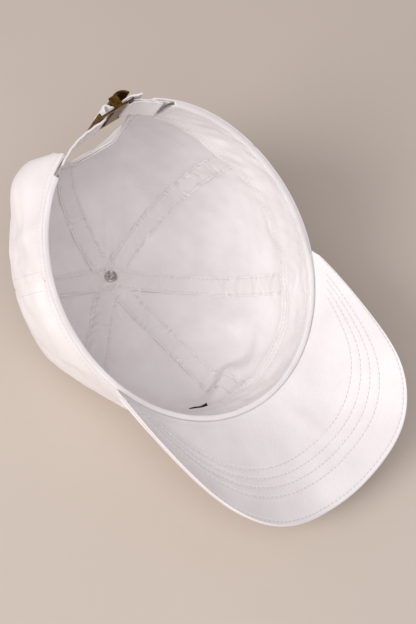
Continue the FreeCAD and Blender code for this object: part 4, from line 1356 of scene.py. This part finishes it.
class CAP_OT_strap(bpy.types.Operator):
    """Fold the long strap through the buckle and the short one round its bar"""

    bl_idname = "cap.strap"
    bl_label = "Strap and buckle"

    def execute(self, context):
        piece = sheet_from(
            "strap_long_twill", 260, 16, ribbon_surface(LONG_PATH, STRAP_LOW, STRAP_HIGH), 0.00122, 0.0004,
            False, offset=0.0, bunched=(0, 0.4),
        )
        hand_over(piece, finish("strap_twill"), ("strap_long",))
        short = ribbon_surface(ANCHOR_PATH, STRAP_LOW + 0.0005, STRAP_HIGH - 0.0005)
        piece = sheet_from(
            "strap_anchor_twill", 200, 14, short, 0.0007, 0.00025, False, offset=0.0, bunched=(0, 0.4)
        )
        hand_over(piece, finish("strap_twill"), ("strap_anchor",))
        rows = ribbon_rows(LONG_PATH, (STRAP_LOW + 0.0024, STRAP_HIGH - 0.0024), 0.00063)
        sew("strap_stitches", rows, pitch=0.0027, long=0.0022)
        for node in ("buckle_frame", "buckle_lever", "buckle_pin"):
            for slot in bpy.data.objects[node].material_slots:
                slot.material = finish("antique_brass")
        return {"FINISHED"}


# ------------------------------------------------------------------ button and rivet

POLE_TILT = math.radians(183)


def turned_part(name, outline, steps):
    """Spin an outline of (radius, height) pairs round Z and close it."""
    deselect()
    bpy.ops.mesh.primitive_circle_add(vertices=3, radius=1)
    piece = bpy.context.object
    piece.name = name
    piece.data.name = name
    mesh = piece.data
    mesh.clear_geometry()
    mesh.from_pydata([(r, 0, z) for r, z in outline], [(i, i + 1) for i in range(len(outline) - 1)], [])
    bpy.ops.object.mode_set(mode="EDIT")
    bpy.ops.mesh.select_all(action="SELECT")
    bpy.ops.mesh.spin(steps=steps, angle=2 * math.pi, center=(0, 0, 0), axis=(0, 0, 1), use_auto_merge=True)
    bpy.ops.mesh.select_all(action="SELECT")
    bpy.ops.mesh.remove_doubles(threshold=1e-6)
    bpy.ops.mesh.normals_make_consistent(inside=False)
    bpy.ops.object.mode_set(mode="OBJECT")
    bpy.ops.object.shade_smooth()
    return piece


def onto_pole(piece, middle):
    """Move a part drawn round Z to the pole, its Z looking out of the cloth."""
    turn = Matrix.Rotation(POLE_TILT, 4, "X")
    piece.data.transform(Matrix.Translation(Vector(middle)) @ turn)
    piece.data.update()


class CAP_OT_button(bpy.types.Operator):
    """Cover the top button with cloth and set its rivet inside"""

    bl_idname = "cap.button"
    bl_label = "Button and rivet"

    def execute(self, context):
        low, high = (np.array(v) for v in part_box("button_cover"))
        centre = (low + high) / 2
        dome = [(6.6 * math.sin(a), 3.1 * math.cos(a)) for a in np.linspace(0, np.pi / 2, 14)]
        skirt = [(6.5, -0.3), (6.1, -0.45), (5.4, -0.3), (5.2, 0.2), (0.0, 0.35)]
        outline = [(r * MM, (z - 1.35) * MM) for r, z in dome + skirt]
        piece = turned_part("button_cover_cloth", outline, 64)
        points = get_points(piece)
        rim = np.hypot(points[:, 0], points[:, 1])
        turn = np.arctan2(points[:, 1], points[:, 0])
        gathers = 0.00012 * np.sin(turn * 18) * smooth_step(rim, 0.004, 0.0065)
        points[:, 2] += gathers
        set_points(piece, points)
        if not piece.data.uv_layers:
            piece.data.uv_layers.new(name="UVMap")
        set_cloth(piece, points[:, :2])
        onto_pole(piece, centre)
        hand_over(piece, finish("cotton_twill"), ("button_cover",))

        low, high = (np.array(v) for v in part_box("button_rivet"))
        ring = [
            (4.15, 0.35), (4.2, 0.0), (4.05, -0.4), (3.7, -0.62), (3.3, -0.62), (3.0, -0.45),
            (2.85, -0.1), (2.8, 0.15), (2.3, 0.2), (1.5, 0.2), (1.35, 0.1), (1.3, -0.3),
            (1.0, -0.5), (0.5, -0.55), (0.0, -0.56),
        ]
        under = [(0.0, 0.6), (3.6, 0.6), (4.15, 0.35)]
        outline = [(r * MM, z * MM) for r, z in ring + under]
        piece = turned_part("button_rivet_cap", outline, 56)
        onto_pole(piece, (low + high) / 2)
        hand_over(piece, finish("nickel_steel"), ("button_rivet",))
        for node, metal in (("button_shell", "button_steel"), ("button_shank", "nickel_steel")):
            for slot in bpy.data.objects[node].material_slots:
                slot.material = finish(metal)
        return {"FINISHED"}


# ------------------------------------------------------------------ stage

LOOK_AT = Vector((-0.0012, -0.0046, 0.070))
KEY_AWAY, KEY_SIZE = 2.3, 1.15
FILL_AWAY, FILL_SIZE = 2.0, 1.6
SKY_STRENGTH = 0.42


def area_light(name, spot, target, size, power, colour):
    data = bpy.data.lights.new(name, "AREA")
    data.shape = "DISK"
    data.size = size
    data.energy = power
    data.color = colour[:3]
    lamp = bpy.data.objects.new(name, data)
    bpy.context.scene.collection.objects.link(lamp)
    lamp.location = spot
    lamp.rotation_euler = (Vector(target) - Vector(spot)).to_track_quat("-Z", "Y").to_euler()


class CAP_OT_stage(bpy.types.Operator):
    """Set the floor, the soft light and the camera"""

    bl_idname = "cap.stage"
    bl_label = "Stage"

    def execute(self, context):
        stage = context.scene.cap_stage
        az, el = stage.azimuth, stage.elevation
        back = Vector((math.sin(az) * math.cos(el), -math.cos(az) * math.cos(el), math.sin(el)))
        right = Vector((0, 0, 1)).cross(back).normalized()
        up = back.cross(right)
        turned_right = right * math.cos(stage.roll) + up * math.sin(stage.roll)
        turned_up = up * math.cos(stage.roll) - right * math.sin(stage.roll)
        data = bpy.data.cameras.new("camera")
        data.lens = stage.lens
        data.sensor_width = 36.0
        data.sensor_fit = "AUTO"
        camera = bpy.data.objects.new("camera", data)
        context.scene.collection.objects.link(camera)
        axes = Matrix((turned_right, turned_up, back)).transposed().to_4x4()
        camera.matrix_world = Matrix.Translation(LOOK_AT + back * stage.distance) @ axes
        context.scene.camera = camera

        deselect()
        bpy.ops.mesh.primitive_plane_add(size=6.0, location=(0, 0, -0.0002))
        floor = context.object
        floor.name = "floor"
        material, tree = new_material("matt_paper_floor")
        spot = add_node(tree, "ShaderNodeTexCoord").outputs["Object"]
        tone = list(context.scene.cap_colours.floor)
        darker = [c * 0.93 for c in tone[:3]] + [1.0]
        colour = ramp(tree, noise(tree, spot, 3.0, 3.0), [(0.3, darker), (0.7, tone)])
        fibres = noise(tree, spot, 600.0)
        grain = add_node(tree, "ShaderNodeBump", {"Height": fibres}, Strength=0.1, Distance=0.0003)
        shader = add_node(
            tree, "ShaderNodeBsdfPrincipled", {"Base Color": colour, "Normal": grain.outputs["Normal"]},
            Roughness=0.95,
        )
        finish_material(tree, shader)
        floor.data.materials.append(material)

        left = -turned_right
        key_way = (left * 0.62 - turned_up * 0.05 + back * 0.90).normalized()
        area_light("key", LOOK_AT + key_way * KEY_AWAY, LOOK_AT, KEY_SIZE, stage.key_power, linear("fffaf8"))
        area_light("fill", LOOK_AT + back * FILL_AWAY, LOOK_AT, FILL_SIZE, stage.fill_power, linear("fbf9ff"))
        world = bpy.data.worlds.new("studio")
        world.use_nodes = True
        sky = world.node_tree.nodes["Background"]
        sky.inputs["Color"].default_value = linear("fbf5f6")
        sky.inputs["Strength"].default_value = SKY_STRENGTH
        context.scene.world = world
        context.scene.view_settings.view_transform = "Standard"
        return {"FINISHED"}


# ------------------------------------------------------------------ panel and main


class CAP_PT_parts(bpy.types.Panel):
    """The cap's pieces"""

    bl_idname = "CAP_PT_parts"
    bl_label = "Cap"
    bl_space_type = "VIEW_3D"
    bl_region_type = "UI"
    bl_category = "Cap"

    def draw(self, context):
        for operator in OPERATORS:
            self.layout.operator(operator.bl_idname)
        for group in ("cap_sizes", "cap_colours", "cap_stage"):
            settings = getattr(context.scene, group)
            box = self.layout.box()
            for name in settings.__annotations__:
                box.prop(settings, name)


OPERATORS = (
    CAP_OT_stage,
    CAP_OT_panels,
    CAP_OT_tapes,
    CAP_OT_seam_stitches,
    CAP_OT_sweatband,
    CAP_OT_arch,
    CAP_OT_visor,
    CAP_OT_strap,
    CAP_OT_button,
)
CLASSES = (CapSizes, CapColours, CapStage, *OPERATORS, CAP_PT_parts)


def register():
    for item in CLASSES:
        bpy.utils.register_class(item)
    bpy.types.Scene.cap_sizes = PointerProperty(type=CapSizes)
    bpy.types.Scene.cap_colours = PointerProperty(type=CapColours)
    bpy.types.Scene.cap_stage = PointerProperty(type=CapStage)


def unregister():
    for group in ("cap_sizes", "cap_colours", "cap_stage"):
        delattr(bpy.types.Scene, group)
    for item in reversed(CLASSES):
        bpy.utils.unregister_class(item)


def main():
    register()
    bpy.ops.cap.stage()
    bpy.ops.cap.panels()
    bpy.ops.cap.tapes()
    bpy.ops.cap.seam_stitches()
    bpy.ops.cap.sweatband()
    bpy.ops.cap.arch()
    bpy.ops.cap.visor()
    bpy.ops.cap.strap()
    bpy.ops.cap.button()


if __name__ == "__main__":
    main()
